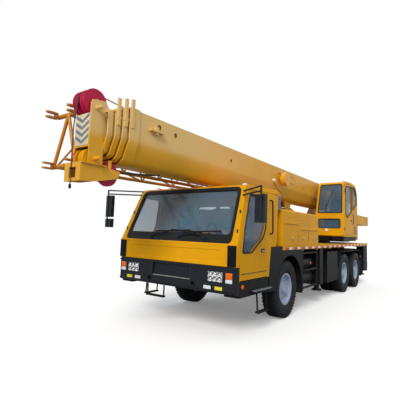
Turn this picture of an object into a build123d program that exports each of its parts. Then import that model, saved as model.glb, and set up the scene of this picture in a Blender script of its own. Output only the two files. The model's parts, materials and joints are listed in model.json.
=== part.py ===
from build123d import *
import os
from math import atan2, cos, degrees, hypot, radians, sin

# Three-axle truck crane, in millimetres.  +X forward, +Y to the vehicle's left, +Z up.
# The origin is on the ground, midway between the boom's tip and the counterweight's tail.

os.makedirs("parts", exist_ok=True)

# ---------------------------------------------------------------- driving dimensions
# carrier
front_axle_x = 1750
wheelbase = 4150                 # front axle to first rear axle
rear_spacing = 1350              # between the two rear axles
body_width = 2500
tyre_r = 540
tyre_width = 290
rim_r = 280                      # bead seat of the rim
front_wheel_y = 1044
dual_outer_y = 1077
dual_spacing = 320
running_gap = 1                  # radial clearance of pins and shafts
clear = 6                        # least gap between parts that move past each other

rail_y = 400                     # middle of each frame rail
rail_width = 90
rail_bottom = 760
rail_top = 1250
frame_rear = -5450

bumper_front = 3790
bumper_depth = 100
bumper_top = 1065
bumper_bottom = 660
frame_front = bumper_front - 150

deck_top = 1360
deck_depth = 75
deck_front = 2120
deck_rear = -5320

# driver's cab
cab_rear = 2350
cab_bottom = 860
cab_floor = 1120
cab_roof = 2360
cab_wall = 60
cab_belt = 1400                  # bottom of the windscreen opening
cab_front = 3780
screen_bottom_x = 3760           # outer face of the windscreen, at the belt
screen_top_x = 3370              # and at the roof
cab_taper = 100                  # the windscreen's top corners stand in this far from the side
door_rear = 2750
door_front = cab_front - 75          # front edge of the doors above the bumper
door_foot = cab_front - 110          # and beside it
door_bottom = 870
door_top = 2250
door_lean = 375                  # the door's front edge leans back this far above the belt
door_gap = 6
glass = 8

# outriggers
outrigger_front_x = -300
outrigger_rear_x = -5000
beam_width = 190
beam_height = 250
beam_wall = 14
beam_z = 1010
beam_length = 2150
beam_offset = 125                # each beam's middle, fore or aft of its housing's middle
jack_y = 1125
jack_box = 230                   # side of the square jack housing
jack_rod_r = 62
jack_foot_r = 112
jack_foot_z = 300

# superstructure
slew_x = -2900
slew_ring_r = 660
table_bottom = 1420
table_thick = 140
table_front = -2300
table_rear = -5380
table_half = 860
wing_bottom = 1980               # underside of the counterweight's wings and the side beams
wing_top = 2290
tail_r = 3050                    # tail swing
tail_x = -5710
side_y = 1220                    # outer face of cab and counterweight
cheek_y = 340                    # inner face of each cheek plate
cheek = 30
boom_pin_x = -4550
boom_pin_z = 2750
boom_pin_r = 70

# boom
boom_top = 3205
boom_height = 750
boom_half = 325
boom_side = 430                  # upright part of the side wall
boom_wall = 10
boom_gap = 24                    # between one section and the next
boom_front = 5120                # front end of the base section
boom_rear = -4350
collar_step = 95                 # each section's collar stands this far ahead of the last
section_length = 8900
head_half = 160
head_front = 5620

# lift cylinder
lift_foot_x = -3500
lift_foot_z = 1700
lift_eye_x = -850
lift_eye_z = 2300
lift_barrel_r = 115
lift_rod_r = 75
lift_pin_r = 45

# operator's cab
op_front = -2320
op_rear = -3930
op_right = 400
op_wall = 45
op_bottom = table_bottom + table_thick + 10
op_roof = 3250

# ---------------------------------------------------------------- helpers
rear_axles_x = [front_axle_x - wheelbase, front_axle_x - wheelbase - rear_spacing]
sides = {"left": 1, "right": -1}


def write(piece, label):
    """Label a finished piece and write it as a STEP file."""
    piece.part.label = label
    export_step(piece.part, f"parts/{label}.step")


def block(x, y, z, mode=Mode.ADD):
    """A box between low and high values along each axis, given as pairs."""
    with Locations(((x[0] + x[1]) / 2, (y[0] + y[1]) / 2, (z[0] + z[1]) / 2)):
        return Box(x[1] - x[0], y[1] - y[0], z[1] - z[0], mode=mode)


def bar(start, end, radius, mode=Mode.ADD):
    """A round bar from one point to another."""
    run = Vector(*end) - Vector(*start)
    with BuildSketch(Plane(origin=start, z_dir=run)) as disc:
        Circle(radius)
    extrude(disc.sketch, amount=run.length, mode=mode)


def side_plate(points, y, mode=Mode.ADD, radius=0):
    """A plate with an outline of (x, z) points, between two values of y."""
    with BuildSketch(Plane.XZ.offset(-y[0])) as outline:
        with BuildLine():
            Polyline(*points, close=True)
        make_face()
        if radius:
            fillet(outline.vertices(), radius)
    extrude(outline.sketch, amount=-(y[1] - y[0]), mode=mode)


def mirrored(y):
    """A pair of y values and the same pair on the other side."""
    return [(y[0], y[1]), (-y[1], -y[0])]


# ---------------------------------------------------------------- carrier frame
cross_member_x = [3400, 2300, 500, -1000, -1700, -4300]
housing_wall = beam_wall
housing_half_x = beam_offset + beam_width / 2 + clear + housing_wall
housing_half_z = beam_height / 2 + clear + housing_wall
housing_end = jack_y - jack_box / 2 - 12

with BuildPart() as chassis_frame:
    low_rail_top = cab_floor - 80
    rail_outline = [
        (frame_rear, rail_bottom), (frame_rear, rail_top), (cab_rear - 160, rail_top),
        (cab_rear - 40, low_rail_top), (frame_front, low_rail_top), (frame_front, rail_bottom),
    ]
    for y in mirrored((rail_y - rail_width / 2, rail_y + rail_width / 2)):
        side_plate(rail_outline, y)
    for x in cross_member_x:
        block((x - 45, x + 45), (-rail_y, rail_y), (rail_bottom + 40, low_rail_top - 40))
    # torsion box and pedestal under the slewing ring
    block((slew_x - 900, slew_x + 900), (-rail_y, rail_y), (rail_bottom + 160, rail_top - 10))
    with BuildSketch(Plane.XY.offset(rail_top - 60)):
        with Locations((slew_x, 0)):
            Circle(slew_ring_r - 30)
            Circle(slew_ring_r - 110, mode=Mode.SUBTRACT)
    extrude(amount=table_bottom - 8 - (rail_top - 60))
    # outrigger housings, each with two bores side by side
    for x in (outrigger_front_x, outrigger_rear_x):
        block((x - housing_half_x, x + housing_half_x), (-housing_end, housing_end),
              (beam_z - housing_half_z, beam_z + housing_half_z))
    for x in (outrigger_front_x, outrigger_rear_x):
        for shift in (-beam_offset, beam_offset):
            bore_x = beam_width / 2 + clear
            bore_z = beam_height / 2 + clear
            block((x + shift - bore_x, x + shift + bore_x), (-body_width / 2, body_width / 2),
                  (beam_z - bore_z, beam_z + bore_z), Mode.SUBTRACT)
write(chassis_frame, "chassis_frame")

# ---------------------------------------------------------------- outrigger beams and jacks
outriggers = [  # name, middle of its housing, fore or aft offset, side
    ("front_left", outrigger_front_x, beam_offset, 1),
    ("front_right", outrigger_front_x, -beam_offset, -1),
    ("rear_left", outrigger_rear_x, beam_offset, 1),
    ("rear_right", outrigger_rear_x, -beam_offset, -1),
]
jack_tube_bottom = jack_foot_z + 150
jack_tube_top = deck_top - deck_depth - 15
for name, housing_x, shift, side in outriggers:
    x = housing_x + shift
    with BuildPart() as beam:
        inner = side * (jack_y - beam_length)
        y_ends = sorted((side * jack_y, inner))
        block((x - beam_width / 2, x + beam_width / 2), y_ends,
              (beam_z - beam_height / 2, beam_z + beam_height / 2))
        half_x = beam_width / 2 - beam_wall
        half_z = beam_height / 2 - beam_wall
        block((x - half_x, x + half_x), y_ends, (beam_z - half_z, beam_z + half_z), Mode.SUBTRACT)
        block((x - jack_box / 2, x + jack_box / 2),
              sorted((side * (jack_y - jack_box / 2), side * (jack_y + jack_box / 2))),
              (jack_tube_bottom, jack_tube_top))
        with Locations((x, side * jack_y, (jack_tube_bottom + jack_tube_top) / 2 - 20)):
            Cylinder(jack_rod_r + running_gap, jack_tube_top - jack_tube_bottom, mode=Mode.SUBTRACT)
    write(beam, f"outrigger_beam_{name}")
    with BuildPart() as jack:
        rod_top = jack_tube_top - 60
        with Locations((x, side * jack_y, (jack_foot_z + rod_top) / 2)):
            Cylinder(jack_rod_r, rod_top - jack_foot_z)
        with BuildSketch(Plane.XY.offset(jack_foot_z)):
            with Locations((x, side * jack_y)):
                Circle(jack_foot_r)
        extrude(amount=35, taper=12)
    write(jack, f"outrigger_jack_{name}")

# ---------------------------------------------------------------- front bumper and lamps
lamp_z = (832, 986)
lamp_table = [  # middle y, half width, of the head-lamp pairs and of the indicators
    (880, 134), (1128, 62),
]
bumper_back = bumper_front - bumper_depth
recess_half = 415
tow_eye_y = 470
with BuildPart() as front_bumper:
    block((bumper_back, bumper_front), (-body_width / 2, body_width / 2), (bumper_bottom, bumper_top))
    chamfer(front_bumper.edges().filter_by(Axis.Y).group_by(Axis.Z)[0].group_by(Axis.X)[-1], 45)
    fillet(front_bumper.edges().filter_by(Axis.Z).group_by(Axis.X)[-1], 60)
    # recess with a bright ledge in the middle, lamp pockets, fog lamp pockets and tow eyes
    block((bumper_front - 30, bumper_front + 1), (-recess_half, recess_half), (815, 1030), Mode.SUBTRACT)
    for middle, half in lamp_table:
        for side in (-1, 1):
            block((bumper_front - 45, bumper_front + 1),
                  sorted((side * (middle - half), side * (middle + half))), lamp_z, Mode.SUBTRACT)
    with Locations(*[Plane(origin=(bumper_front, side * tow_eye_y, 765), z_dir=(1, 0, 0)).location
                     for side in (-1, 1)]):
        Hole(36, depth=80)
    # brackets back to the rails
    for y in mirrored((rail_y - rail_width / 2, rail_y + rail_width / 2)):
        block((frame_front, bumper_back), y, (rail_bottom, low_rail_top))
write(front_bumper, "front_bumper")

lamp_gap = 4
with BuildPart() as carrier_lamps:
    # head lamps and indicators fill their pockets, with a small gap all round
    for middle, half in lamp_table:
        for side in (-1, 1):
            block((bumper_front - 45, bumper_front - 4),
                  sorted((side * (middle - half + lamp_gap), side * (middle + half - lamp_gap))),
                  (lamp_z[0] + lamp_gap, lamp_z[1] - lamp_gap))
    # small fog lamps low down on the bumper's face
    for y in (750, 955):
        for side in (-1, 1):
            block((bumper_front, bumper_front + 12), sorted((side * (y - 66), side * (y + 66))), (716, 768))
    # tail lamps on the rear guard
    for side in (-1, 1):
        block((frame_rear - 40, frame_rear), sorted((side * 780, side * 1150)), (580, 680))
write(carrier_lamps, "carrier_lamps")

# ---------------------------------------------------------------- driver's cab
half_width = body_width / 2
cab_outline = [
    (cab_rear + 340, cab_bottom), (cab_front - 96, cab_bottom), (cab_front - 96, bumper_top + 6),
    (cab_front, bumper_top + 6), (cab_front, cab_belt), (screen_bottom_x, cab_belt + 20),
    (screen_top_x, cab_roof - 30), (screen_top_x - 90, cab_roof), (cab_rear + 40, cab_roof),
    (cab_rear, cab_roof - 50), (cab_rear + 50, 1400),
]
door_step = bumper_top + 30
door_outline = [
    (door_rear, door_bottom), (door_foot, door_bottom), (door_foot, door_step), (door_front, door_step),
    (door_front, cab_belt), (door_front - door_lean, door_top), (door_rear, door_top),
]
door_opening = [
    (door_rear - door_gap, door_bottom - 30), (door_foot + door_gap, door_bottom - 30),
    (door_foot + door_gap, door_step - door_gap), (door_front + door_gap, door_step - door_gap),
    (door_front + door_gap, cab_belt), (door_front - door_lean + door_gap, door_top + door_gap),
    (door_rear - door_gap, door_top + door_gap),
]
window_outline = [
    (door_front - 85, 1275), (door_front - 375, 1275), (door_rear + 195, 1500), (door_rear + 100, 1650),
    (door_rear + 50, door_top - 50), (door_front - door_lean - 35, door_top - 45), (door_front - 145, 1600),
]
screen_rise = Vector(screen_top_x - screen_bottom_x, 0, cab_roof - 30 - (cab_belt + 20))
screen_middle = Vector((screen_top_x + screen_bottom_x) / 2, 0, (cab_roof - 30 + cab_belt + 20) / 2)
screen_normal = Vector(screen_rise.Z, 0, -screen_rise.X)
screen_plane = Plane(origin=screen_middle, x_dir=(0, 1, 0), z_dir=screen_normal)
screen_width = (2200, 2090)      # of the windscreen's foot and top
screen_height = 860
rear_window = (1000, 460, 1850)  # width, height, middle z

# each side leans in towards the windscreen's top corner, along the plane through three corners
lean_corners = [
    Vector(cab_front, half_width, cab_belt), Vector(screen_top_x, half_width - cab_taper, cab_roof),
    Vector(cab_rear + 50, half_width, cab_roof),
]
lean_normal = (lean_corners[1] - lean_corners[0]).cross(lean_corners[2] - lean_corners[0])


def lean(side, depth):
    """Cut away what stands outside the leaning side of the cab, less a depth."""
    outward = Vector(abs(lean_normal.X), side * abs(lean_normal.Y), abs(lean_normal.Z)).normalized()
    corner = Vector(lean_corners[1].X, side * lean_corners[1].Y, lean_corners[1].Z)
    with Locations(Plane(origin=corner - outward * depth, z_dir=outward).location):
        Box(4000, 4000, 400, align=(Align.CENTER, Align.CENTER, Align.MIN), mode=Mode.SUBTRACT)


def side_wall(points, side, outer, inner, radius=0):
    """What lies inside an outline, between two depths below the cab's side."""
    layers = []
    for depth in (outer, inner):
        with BuildPart() as layer:
            side_plate(points, sorted((side * 900, side * (half_width - depth))), radius=radius)
            lean(side, depth)
        layers.append(layer.part)
    with BuildPart() as wall:
        add(layers[0])
        add(layers[1], mode=Mode.SUBTRACT)
    return wall.part


def screen_outline(level):
    """The windscreen's outline, on a plane above or below its middle one."""
    foot, top = screen_width[0] / 2, screen_width[1] / 2
    with BuildSketch(screen_plane.offset(level)) as outline:
        with BuildLine():
            Polyline((-foot, -screen_height / 2), (foot, -screen_height / 2), (top, screen_height / 2),
                     (-top, screen_height / 2), close=True)
        make_face()
        fillet(outline.vertices(), 70)
    return outline.sketch


fender_edge = (cab_rear + 344, cab_rear + 274)      # the fender meets the cab here, at its foot and its top
inside = half_width - cab_wall
with BuildPart() as cabin:
    side_plate(
        [(cab_rear + 100, cab_floor), (cab_front - 40, cab_floor), (cab_front - 40, cab_belt - 30),
         (screen_bottom_x - 55, cab_belt + 30), (screen_top_x - 45, cab_roof - 95),
         (screen_top_x - 130, cab_roof - 55), (cab_rear + 60, cab_roof - 55)],
        (-inside, inside))
    for side in (-1, 1):
        lean(side, cab_wall)
with BuildPart() as cab_shell:
    side_plate(cab_outline, (-half_width, half_width))
    top_edges = cab_shell.edges().filter_by(Axis.X).group_by(Axis.Z)[-1]
    fillet(top_edges, 45)
    for side in (-1, 1):
        lean(side, 0)
    # cabin, open to the front panel; leg room under the floor between the skirts
    add(cabin.part, mode=Mode.SUBTRACT)
    block((cab_rear - 1, cab_front), (-inside, inside), (cab_bottom - 1, cab_floor - 40), Mode.SUBTRACT)
    block((cab_front - 40, cab_front + 1), (-inside, inside), (bumper_top, cab_belt - 30), Mode.SUBTRACT)
    for side in (-1, 1):
        add(side_wall(door_opening, side, -1, cab_wall + 1), mode=Mode.SUBTRACT)
    # the fender's front edge lies in a shallow rebate in the cab's side
    for y in mirrored((half_width - 24, half_width + 1)):
        side_plate([(cab_rear - 1, deck_top), (fender_edge[1], deck_top), (fender_edge[0], cab_bottom - 1),
                    (cab_rear - 1, cab_bottom - 1)], y, Mode.SUBTRACT)
    extrude(screen_outline(-80), amount=120, dir=screen_plane.z_dir, mode=Mode.SUBTRACT)
    with BuildSketch(Plane.YZ.offset(cab_rear - 10)):
        with Locations((0, rear_window[2])):
            RectangleRounded(rear_window[0], rear_window[1], 60)
    extrude(amount=130, mode=Mode.SUBTRACT)
write(cab_shell, "cab_shell")

with BuildPart() as cab_front_panel:
    block((cab_front - 40, cab_front), (-inside, inside), (bumper_top + 6, cab_belt - 30))
    with BuildSketch(Plane.YZ.offset(cab_front)):
        with Locations((0, 1215)):
            RectangleRounded(1900, 190, 30)
    extrude(amount=-8, mode=Mode.SUBTRACT)
write(cab_front_panel, "cab_front_panel")

with BuildPart() as cab_glass:
    extrude(screen_outline(-30), amount=glass, dir=screen_plane.z_dir)
    with BuildSketch(Plane.YZ.offset(cab_rear + 55)):
        with Locations((0, rear_window[2])):
            RectangleRounded(rear_window[0], rear_window[1], 60)
    extrude(amount=glass)
write(cab_glass, "cab_glass")

for name, side in sides.items():
    with BuildPart() as door:
        add(side_wall(door_outline, side, 0, cab_wall))
        add(side_wall(window_outline, side, -1, cab_wall + 1, 45), mode=Mode.SUBTRACT)
        # pressed crease along the lower panel and a recess for the handle
        outer = side * half_width
        block((door_rear + 60, door_rear + 180), sorted((outer, outer - side * 12)), (1275, 1325), Mode.SUBTRACT)
    write(door, f"cab_door_{name}")
    with BuildPart() as door_glass:
        add(side_wall(window_outline, side, (cab_wall - glass) / 2, (cab_wall + glass) / 2, 45))
    write(door_glass, f"cab_door_glass_{name}")

seat_table = [  # middle x, middle y, of the driver's and the passenger's seats
    (2820, 620), (2820, -620),
]
with BuildPart() as cab_seats:
    for x, y in seat_table:
        block((x - 200, x + 200), (y - 170, y + 170), (cab_floor, cab_floor + 260))
        block((x - 240, x + 260), (y - 250, y + 250), (cab_floor + 260, cab_floor + 390))
        side_plate([(x - 240, cab_floor + 390), (x - 120, cab_floor + 390), (x - 210, cab_floor + 930),
                    (x - 320, cab_floor + 930)], (y - 240, y + 240))
write(cab_seats, "cab_seats")

wheel_centre = (3240, 0, 1640)
with BuildPart() as dashboard:
    side_plate([(3400, cab_floor + 330), (3540, cab_floor + 120), (3670, cab_floor + 120),
                (3670, cab_belt - 20), (3560, cab_belt + 60), (3450, cab_belt + 30)], (-inside + 20, inside - 20))
    # steering column and wheel on the left
    column_foot = (3490, 620, cab_floor + 250)
    column_top = (3300, 620, 1560)
    bar(column_foot, column_top, 35)
    lean = Vector(*column_top) - Vector(*column_foot)
    with Locations(Plane(origin=column_top, z_dir=lean).location):
        Torus(215, 17)
        Cylinder(60, 40)
        for angle in (0, 120, 240):
            with Locations(Rotation(0, 0, angle)):
                with Locations((110, 0, 0)):
                    Box(220, 34, 14)
write(dashboard, "dashboard")

# ---------------------------------------------------------------- steps, mudguards and corner panels
arch_r = tyre_r + 95
guard_thick = 14
with BuildPart() as steps_and_guards:
    for side in (-1, 1):
        outer = side * half_width
        # sill with its step plate under the door, and a hanging loop step
        block((cab_rear + 360, bumper_back), sorted((outer, outer - side * 260)), (620, cab_bottom))
        block((cab_rear + 340, cab_rear + 970), sorted((outer, outer + side * 70)), (650, 685))
        step_x = (cab_rear + 400, cab_rear + 720)
        for x in step_x:
            bar((x, outer - side * 30, 620), (x, outer - side * 10, 330), 14)
        block((step_x[0] - 14, step_x[1] + 14), sorted((outer - side * 45, outer + side * 25)), (310, 338))
        # arched mudguard over the front wheel, hung from the deck's edge
        with BuildSketch(Plane.XZ.offset(-side * (half_width - 20))) as arch:
            with Locations((front_axle_x, tyre_r)):
                Circle(arch_r + guard_thick)
                Circle(arch_r, mode=Mode.SUBTRACT)
            with Locations((front_axle_x, tyre_r + 60 - arch_r)):
                Rectangle(3 * arch_r, 2 * arch_r, mode=Mode.SUBTRACT)
        extrude(arch.sketch, amount=side * 420)
        # fender between the arch, the deck's edge and the cab's raked rear corner, and a flap behind the wheel
        fender_rear = front_axle_x - arch_r - guard_thick
        fender_low = tyre_r + 60
        deck_under = deck_top - deck_depth
        rake = (fender_edge[1] - fender_edge[0]) / (deck_top - cab_bottom)
        fender_front = [(fender_edge[0] + rake * (z - cab_bottom) - 12, z) for z in (cab_bottom, deck_top - 8)]
        with BuildSketch(Plane.XZ.offset(-side * (half_width - 18))) as fender:
            with BuildLine():
                Polyline((fender_rear, fender_low), (fender_rear, deck_under), (deck_front + 8, deck_under),
                         (deck_front + 8, deck_top - 8), fender_front[1], fender_front[0],
                         (cab_rear + 330, cab_bottom), (cab_rear + 330, fender_low), close=True)
            make_face()
            with Locations((front_axle_x, tyre_r)):
                Circle(arch_r + guard_thick / 2, mode=Mode.SUBTRACT)
        extrude(fender.sketch, amount=-side * 17)
        block((fender_rear, fender_rear + 12), sorted((side * 900, side * (half_width - 2))), (400, fender_low + 40))
        # box under the deck's rear corner, outside the far beam's inner end
        corner_y = beam_length - jack_y + 15
        jack_x = {1: outrigger_rear_x + beam_offset, -1: outrigger_rear_x - beam_offset}[side]
        block((deck_rear, jack_x - jack_box / 2 - 12), sorted((side * corner_y, side * (half_width - 10))), (420, deck_under))
        # flat guard over the two rear axles, with bent ends
        guard_top = 2 * tyre_r + 75
        ends = (rear_axles_x[1] - tyre_r - 60, rear_axles_x[0] + tyre_r + 60)
        side_plate(
            [(ends[0], 800), (ends[0] + 110, guard_top), (ends[1] - 110, guard_top), (ends[1], 800),
             (ends[1] - guard_thick, 800), (ends[1] - 110 - guard_thick, guard_top - guard_thick),
             (ends[0] + 110 + guard_thick, guard_top - guard_thick), (ends[0] + guard_thick, 800)],
            sorted((side * (half_width - 20), side * 600)))
        for x in rear_axles_x:
            block((x - 30, x + 30), sorted((side * (rail_y + rail_width / 2), side * 640)),
                  (guard_top, guard_top + 30))
        # dark corner panel beside the front panel
        block((cab_front, cab_front + 14), sorted((side * 1095, side * 1242)), (bumper_top + 12, 1385))
    # rear under-run guard on two arms from the rails
    block((frame_rear, frame_rear + 60), (-half_width + 30, half_width - 30), (560, 700))
    for y in mirrored((rail_y - 30, rail_y + 30)):
        block((frame_rear, frame_rear + 60), y, (700, rail_bottom))
    # loop step under the right half of the bumper
    for y in (-520, -150):
        bar((bumper_front - 30, y, bumper_bottom), (bumper_front - 30, y, 490), 13)
    block((bumper_front - 60, bumper_front), (-533, -137), (462, 490))
write(steps_and_guards, "steps_and_guards")

# ---------------------------------------------------------------- mirrors
mirror_x = cab_front + 40
mirror_y = 1640
mirror_tube = 15
mirror_x_range = (mirror_x - 80, mirror_x - 5)
mirror_table = [  # side, height of the upper arm, lowest and highest z of each mirror
    (1, 2245, [(1730, 2130)]),
    (-1, 2315, [(1800, 2215), (1600, 1765)]),
]
with BuildPart() as mirrors:
    for side, arm_z, heads in mirror_table:
        outer = side * mirror_y
        bar((mirror_x, outer, heads[-1][0] + 30), (mirror_x, outer, arm_z), mirror_tube)
        for z in (arm_z, arm_z - 70):
            share = (z - cab_belt - 20) / (cab_roof - 50 - cab_belt)
            pillar_x = screen_bottom_x + share * (screen_top_x - screen_bottom_x)
            root = side * (half_width - 25 - share * cab_taper)
            bar((pillar_x, root, z), (mirror_x + 5, outer + side * 6, z), mirror_tube - 2)
        for z in heads:
            block(mirror_x_range, sorted((outer - side * 100, outer + side * 60)), z)
write(mirrors, "mirrors")

# ---------------------------------------------------------------- deck, engine cover, engine
deck_plate = 10
engine_x = (880, 2080)
engine_half = 330
engine_top = 1680
rib_x = [2000, 1000, 100, -900, -1750, -4150, -4650]
with BuildPart() as deck:
    block((deck_rear, deck_front), (-half_width, half_width), (deck_top - deck_depth, deck_top))
    block((deck_rear + 20, deck_front - 20), (-half_width + 20, half_width - 20),
          (deck_top - deck_depth - 1, deck_top - deck_plate), Mode.SUBTRACT)
    for x in rib_x:
        block((x - 30, x + 30), (-half_width + 20, half_width - 20), (rail_top, deck_top - deck_plate))
    with Locations((slew_x, 0, deck_top)):
        Cylinder(slew_ring_r + 25, 400, mode=Mode.SUBTRACT)
    # hatch over the engine, under its cover
    block((engine_x[0] - 30, engine_x[1] + 60), (-engine_half - 30, engine_half + 30),
          (rail_top - 1, deck_top + 1), Mode.SUBTRACT)
write(deck, "deck")

cover_x = (100, 2135)
cover_top = 2045
cover_wall = 30
with BuildPart() as engine_cover:
    block(cover_x, (-half_width, half_width), (deck_top, cover_top))
    fillet(engine_cover.edges().filter_by(Axis.X).group_by(Axis.Z)[-1], 40)
    block((cover_x[0] + cover_wall, cover_x[1] - cover_wall),
          (-half_width + cover_wall, half_width - cover_wall), (deck_top - 1, cover_top - cover_wall), Mode.SUBTRACT)
    # two long pressed bars on each side, the rear one lower
    for x, z in (((160, 1230), (1675, 1722)), ((1310, 2080), (1775, 1822))):
        for y in mirrored((half_width - 1, half_width + 12)):
            block(x, y, z)
write(engine_cover, "engine_cover")

with BuildPart() as engine:
    block(engine_x, (-engine_half, engine_half), (780, engine_top))
    block((engine_x[0] - 300, engine_x[0]), (-210, 210), (820, 1180))
write(engine, "engine")

# ---------------------------------------------------------------- tanks and boxes along the sides
tank_low = 420
with BuildPart() as side_tanks:
    # fuel tank on the right and air tanks on the left, behind the front wheels
    with BuildSketch(Plane.YZ.offset(0)) as tank_end:
        with Locations((-930, 820)):
            RectangleRounded(520, 620, 120)
    extrude(tank_end.sketch, amount=900)
    for z in (640, 960):
        bar((150, 1000, z), (900, 1000, z), 150)
    for x in (300, 700):
        block((x - 25, x + 25), (rail_y + rail_width / 2, 1000), (780, 860))
        block((x - 25, x + 25), (-700, -rail_y - rail_width / 2), (780, 860))
    # open rack round the air tanks
    rack_x = (100, 1000)
    for z in (460, 820, 1180):
        block(rack_x, (1190, 1225), (z, z + 35))
        for x in rack_x:
            block((x - 20, x + 20), (rail_y + rail_width / 2, 1225), (z, z + 35))
    for x in rack_x:
        block((x - 20, x + 20), (1190, 1225), (420, rail_top))
    # dark boxes between the front outriggers and the rear wheels
    for side in (-1, 1):
        block((-1700, -760), sorted((side * 620, side * 1200)), (tank_low, 1180))
        block((-1600, -860), sorted((side * (rail_y + rail_width / 2), side * 620)), (900, 1100))
write(side_tanks, "side_tanks")

# ---------------------------------------------------------------- axles
kingpin_y = 860
hub_bore_r = 60
spindle_r = hub_bore_r - running_gap
hub_cap = 20
front_hub_y = (kingpin_y + 72, front_wheel_y + 120)
rear_hub_y = (640, dual_outer_y + 100)
axle_z = tyre_r
with BuildPart() as axles:
    # dropped front beam with a fork at each end, on two leaf springs
    block((front_axle_x - 60, front_axle_x + 60), (-kingpin_y + 100, kingpin_y - 100), (axle_z - 130, axle_z + 10))
    for side in (-1, 1):
        for z in ((axle_z - 130, axle_z - 82), (axle_z + 82, axle_z + 130)):
            block((front_axle_x - 60, front_axle_x + 60), sorted((side * (kingpin_y - 120), side * (kingpin_y + 25))), z)
        block((front_axle_x - 20, front_axle_x + 60), sorted((side * (kingpin_y - 120), side * (kingpin_y - 75))),
              (axle_z - 130, axle_z + 130))
        for z, half in ((axle_z + 10, 620), (axle_z + 42, 460), (axle_z + 74, 300)):
            block((front_axle_x - half, front_axle_x + half), sorted((side * 365, side * 445)), (z, z + 32))
        for x in (front_axle_x - 600, front_axle_x + 600):
            block((x - 20, x + 20), sorted((side * 365, side * 445)), (axle_z + 42, rail_bottom))
    # two driven rear axles on shared springs
    for x in rear_axles_x:
        bar((x, -rear_hub_y[0] + 8, axle_z), (x, rear_hub_y[0] - 8, axle_z), 85)
        with Locations((x, 0, axle_z)):
            Sphere(230)
        for side in (-1, 1):
            bar((x, side * 600, axle_z), (x, side * (rear_hub_y[1] - hub_cap - 5), axle_z), spindle_r)
            block((x - 70, x + 70), sorted((side * 365, side * 445)), (axle_z + 60, axle_z + 120))
    middle = sum(rear_axles_x) / 2
    for side in (-1, 1):
        block((rear_axles_x[1] - 90, rear_axles_x[0] + 90), sorted((side * 365, side * 445)), (axle_z + 120, axle_z + 180))
        block((middle - 110, middle + 110), sorted((side * 355, side * 445)), (axle_z + 180, rail_bottom))
    bar((rear_axles_x[1], 0, axle_z + 40), (rear_axles_x[0], 0, axle_z + 40), 55)
write(axles, "axles")

for name, side in sides.items():
    with BuildPart() as knuckle:
        middle_y = side * kingpin_y
        with Locations((front_axle_x, middle_y, axle_z)):
            Cylinder(52, 160)
        block((front_axle_x - 75, front_axle_x + 75), sorted((middle_y - side * 10, middle_y + side * 60)),
              (axle_z - 75, axle_z + 75))
        bar((front_axle_x, middle_y, axle_z), (front_axle_x, side * (front_hub_y[1] - hub_cap - 5), axle_z), spindle_r)
        # steering arm
        block((front_axle_x - 230, front_axle_x - 20), sorted((middle_y - side * 40, middle_y)), (axle_z - 70, axle_z - 40))
    write(knuckle, f"knuckle_{name}")

# ---------------------------------------------------------------- wheels
tyre_profile = [  # distance from the tyre's middle plane, radius
    (0.34, rim_r), (0.47, rim_r + 70), (0.5, tyre_r - 90), (0.42, tyre_r - 12), (0.36, tyre_r),
]


def add_tyre(x, y):
    """A tyre on its side, turned about its axle line."""
    right = [(x + radius, y + share * tyre_width) for share, radius in tyre_profile]
    left = [(x + radius, y - share * tyre_width) for share, radius in reversed(tyre_profile)]
    with BuildSketch(Plane.XY.offset(axle_z)) as section:
        with BuildLine():
            Polyline(*right, *left, close=True)
        make_face()
    revolve(section.sketch, axis=Axis((x, 0, axle_z), (0, 1, 0)))


def add_rim(x, y, out, dish):
    """A rim with its disc; out points away from the vehicle, dish is the disc's place along it."""
    edge = tyre_profile[0][0] * tyre_width
    points = [
        (rim_r, edge), (rim_r + 16, edge + 10), (rim_r + 16, edge + 20), (rim_r - 14, edge + 20),
        (rim_r - 18, dish + 16), (hub_r - 5, dish + 16), (hub_r - 5, dish), (rim_r - 18, dish),
        (rim_r - 14, -edge - 20), (rim_r + 16, -edge - 20), (rim_r + 16, -edge - 10), (rim_r, -edge),
    ]
    with BuildSketch(Plane.XY.offset(axle_z)) as section:
        with BuildLine():
            Polyline(*[(x + radius, y + out * along) for radius, along in points], close=True)
        make_face()
    revolve(section.sketch, axis=Axis((x, 0, axle_z), (0, 1, 0)))
    hand_holes = Plane(origin=(x, y + out * (dish + 40), axle_z), z_dir=(0, out, 0))
    with BuildSketch(hand_holes) as holes:
        with PolarLocations(hand_hole_r, hand_hole_count):
            Circle(hand_hole_size)
    extrude(holes.sketch, amount=-80, mode=Mode.SUBTRACT)


def add_hub(x, side, ends, drum):
    """A hub between two distances from the middle of the vehicle, with a brake drum at its inner end."""
    points = [
        (hub_bore_r, ends[0]), (drum_r, ends[0]), (drum_r, ends[0] + drum), (hub_r, ends[0] + drum),
        (hub_r, ends[1] - 60), (hub_r - 45, ends[1] - 55), (hub_r - 45, ends[1]), (0, ends[1]),
        (0, ends[1] - hub_cap), (hub_bore_r, ends[1] - hub_cap),
    ]
    with BuildSketch(Plane.XY.offset(axle_z)) as section:
        with BuildLine():
            Polyline(*[(x + radius, side * along) for radius, along in points], close=True)
        make_face()
    revolve(section.sketch, axis=Axis((x, 0, axle_z), (0, 1, 0)))


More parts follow.
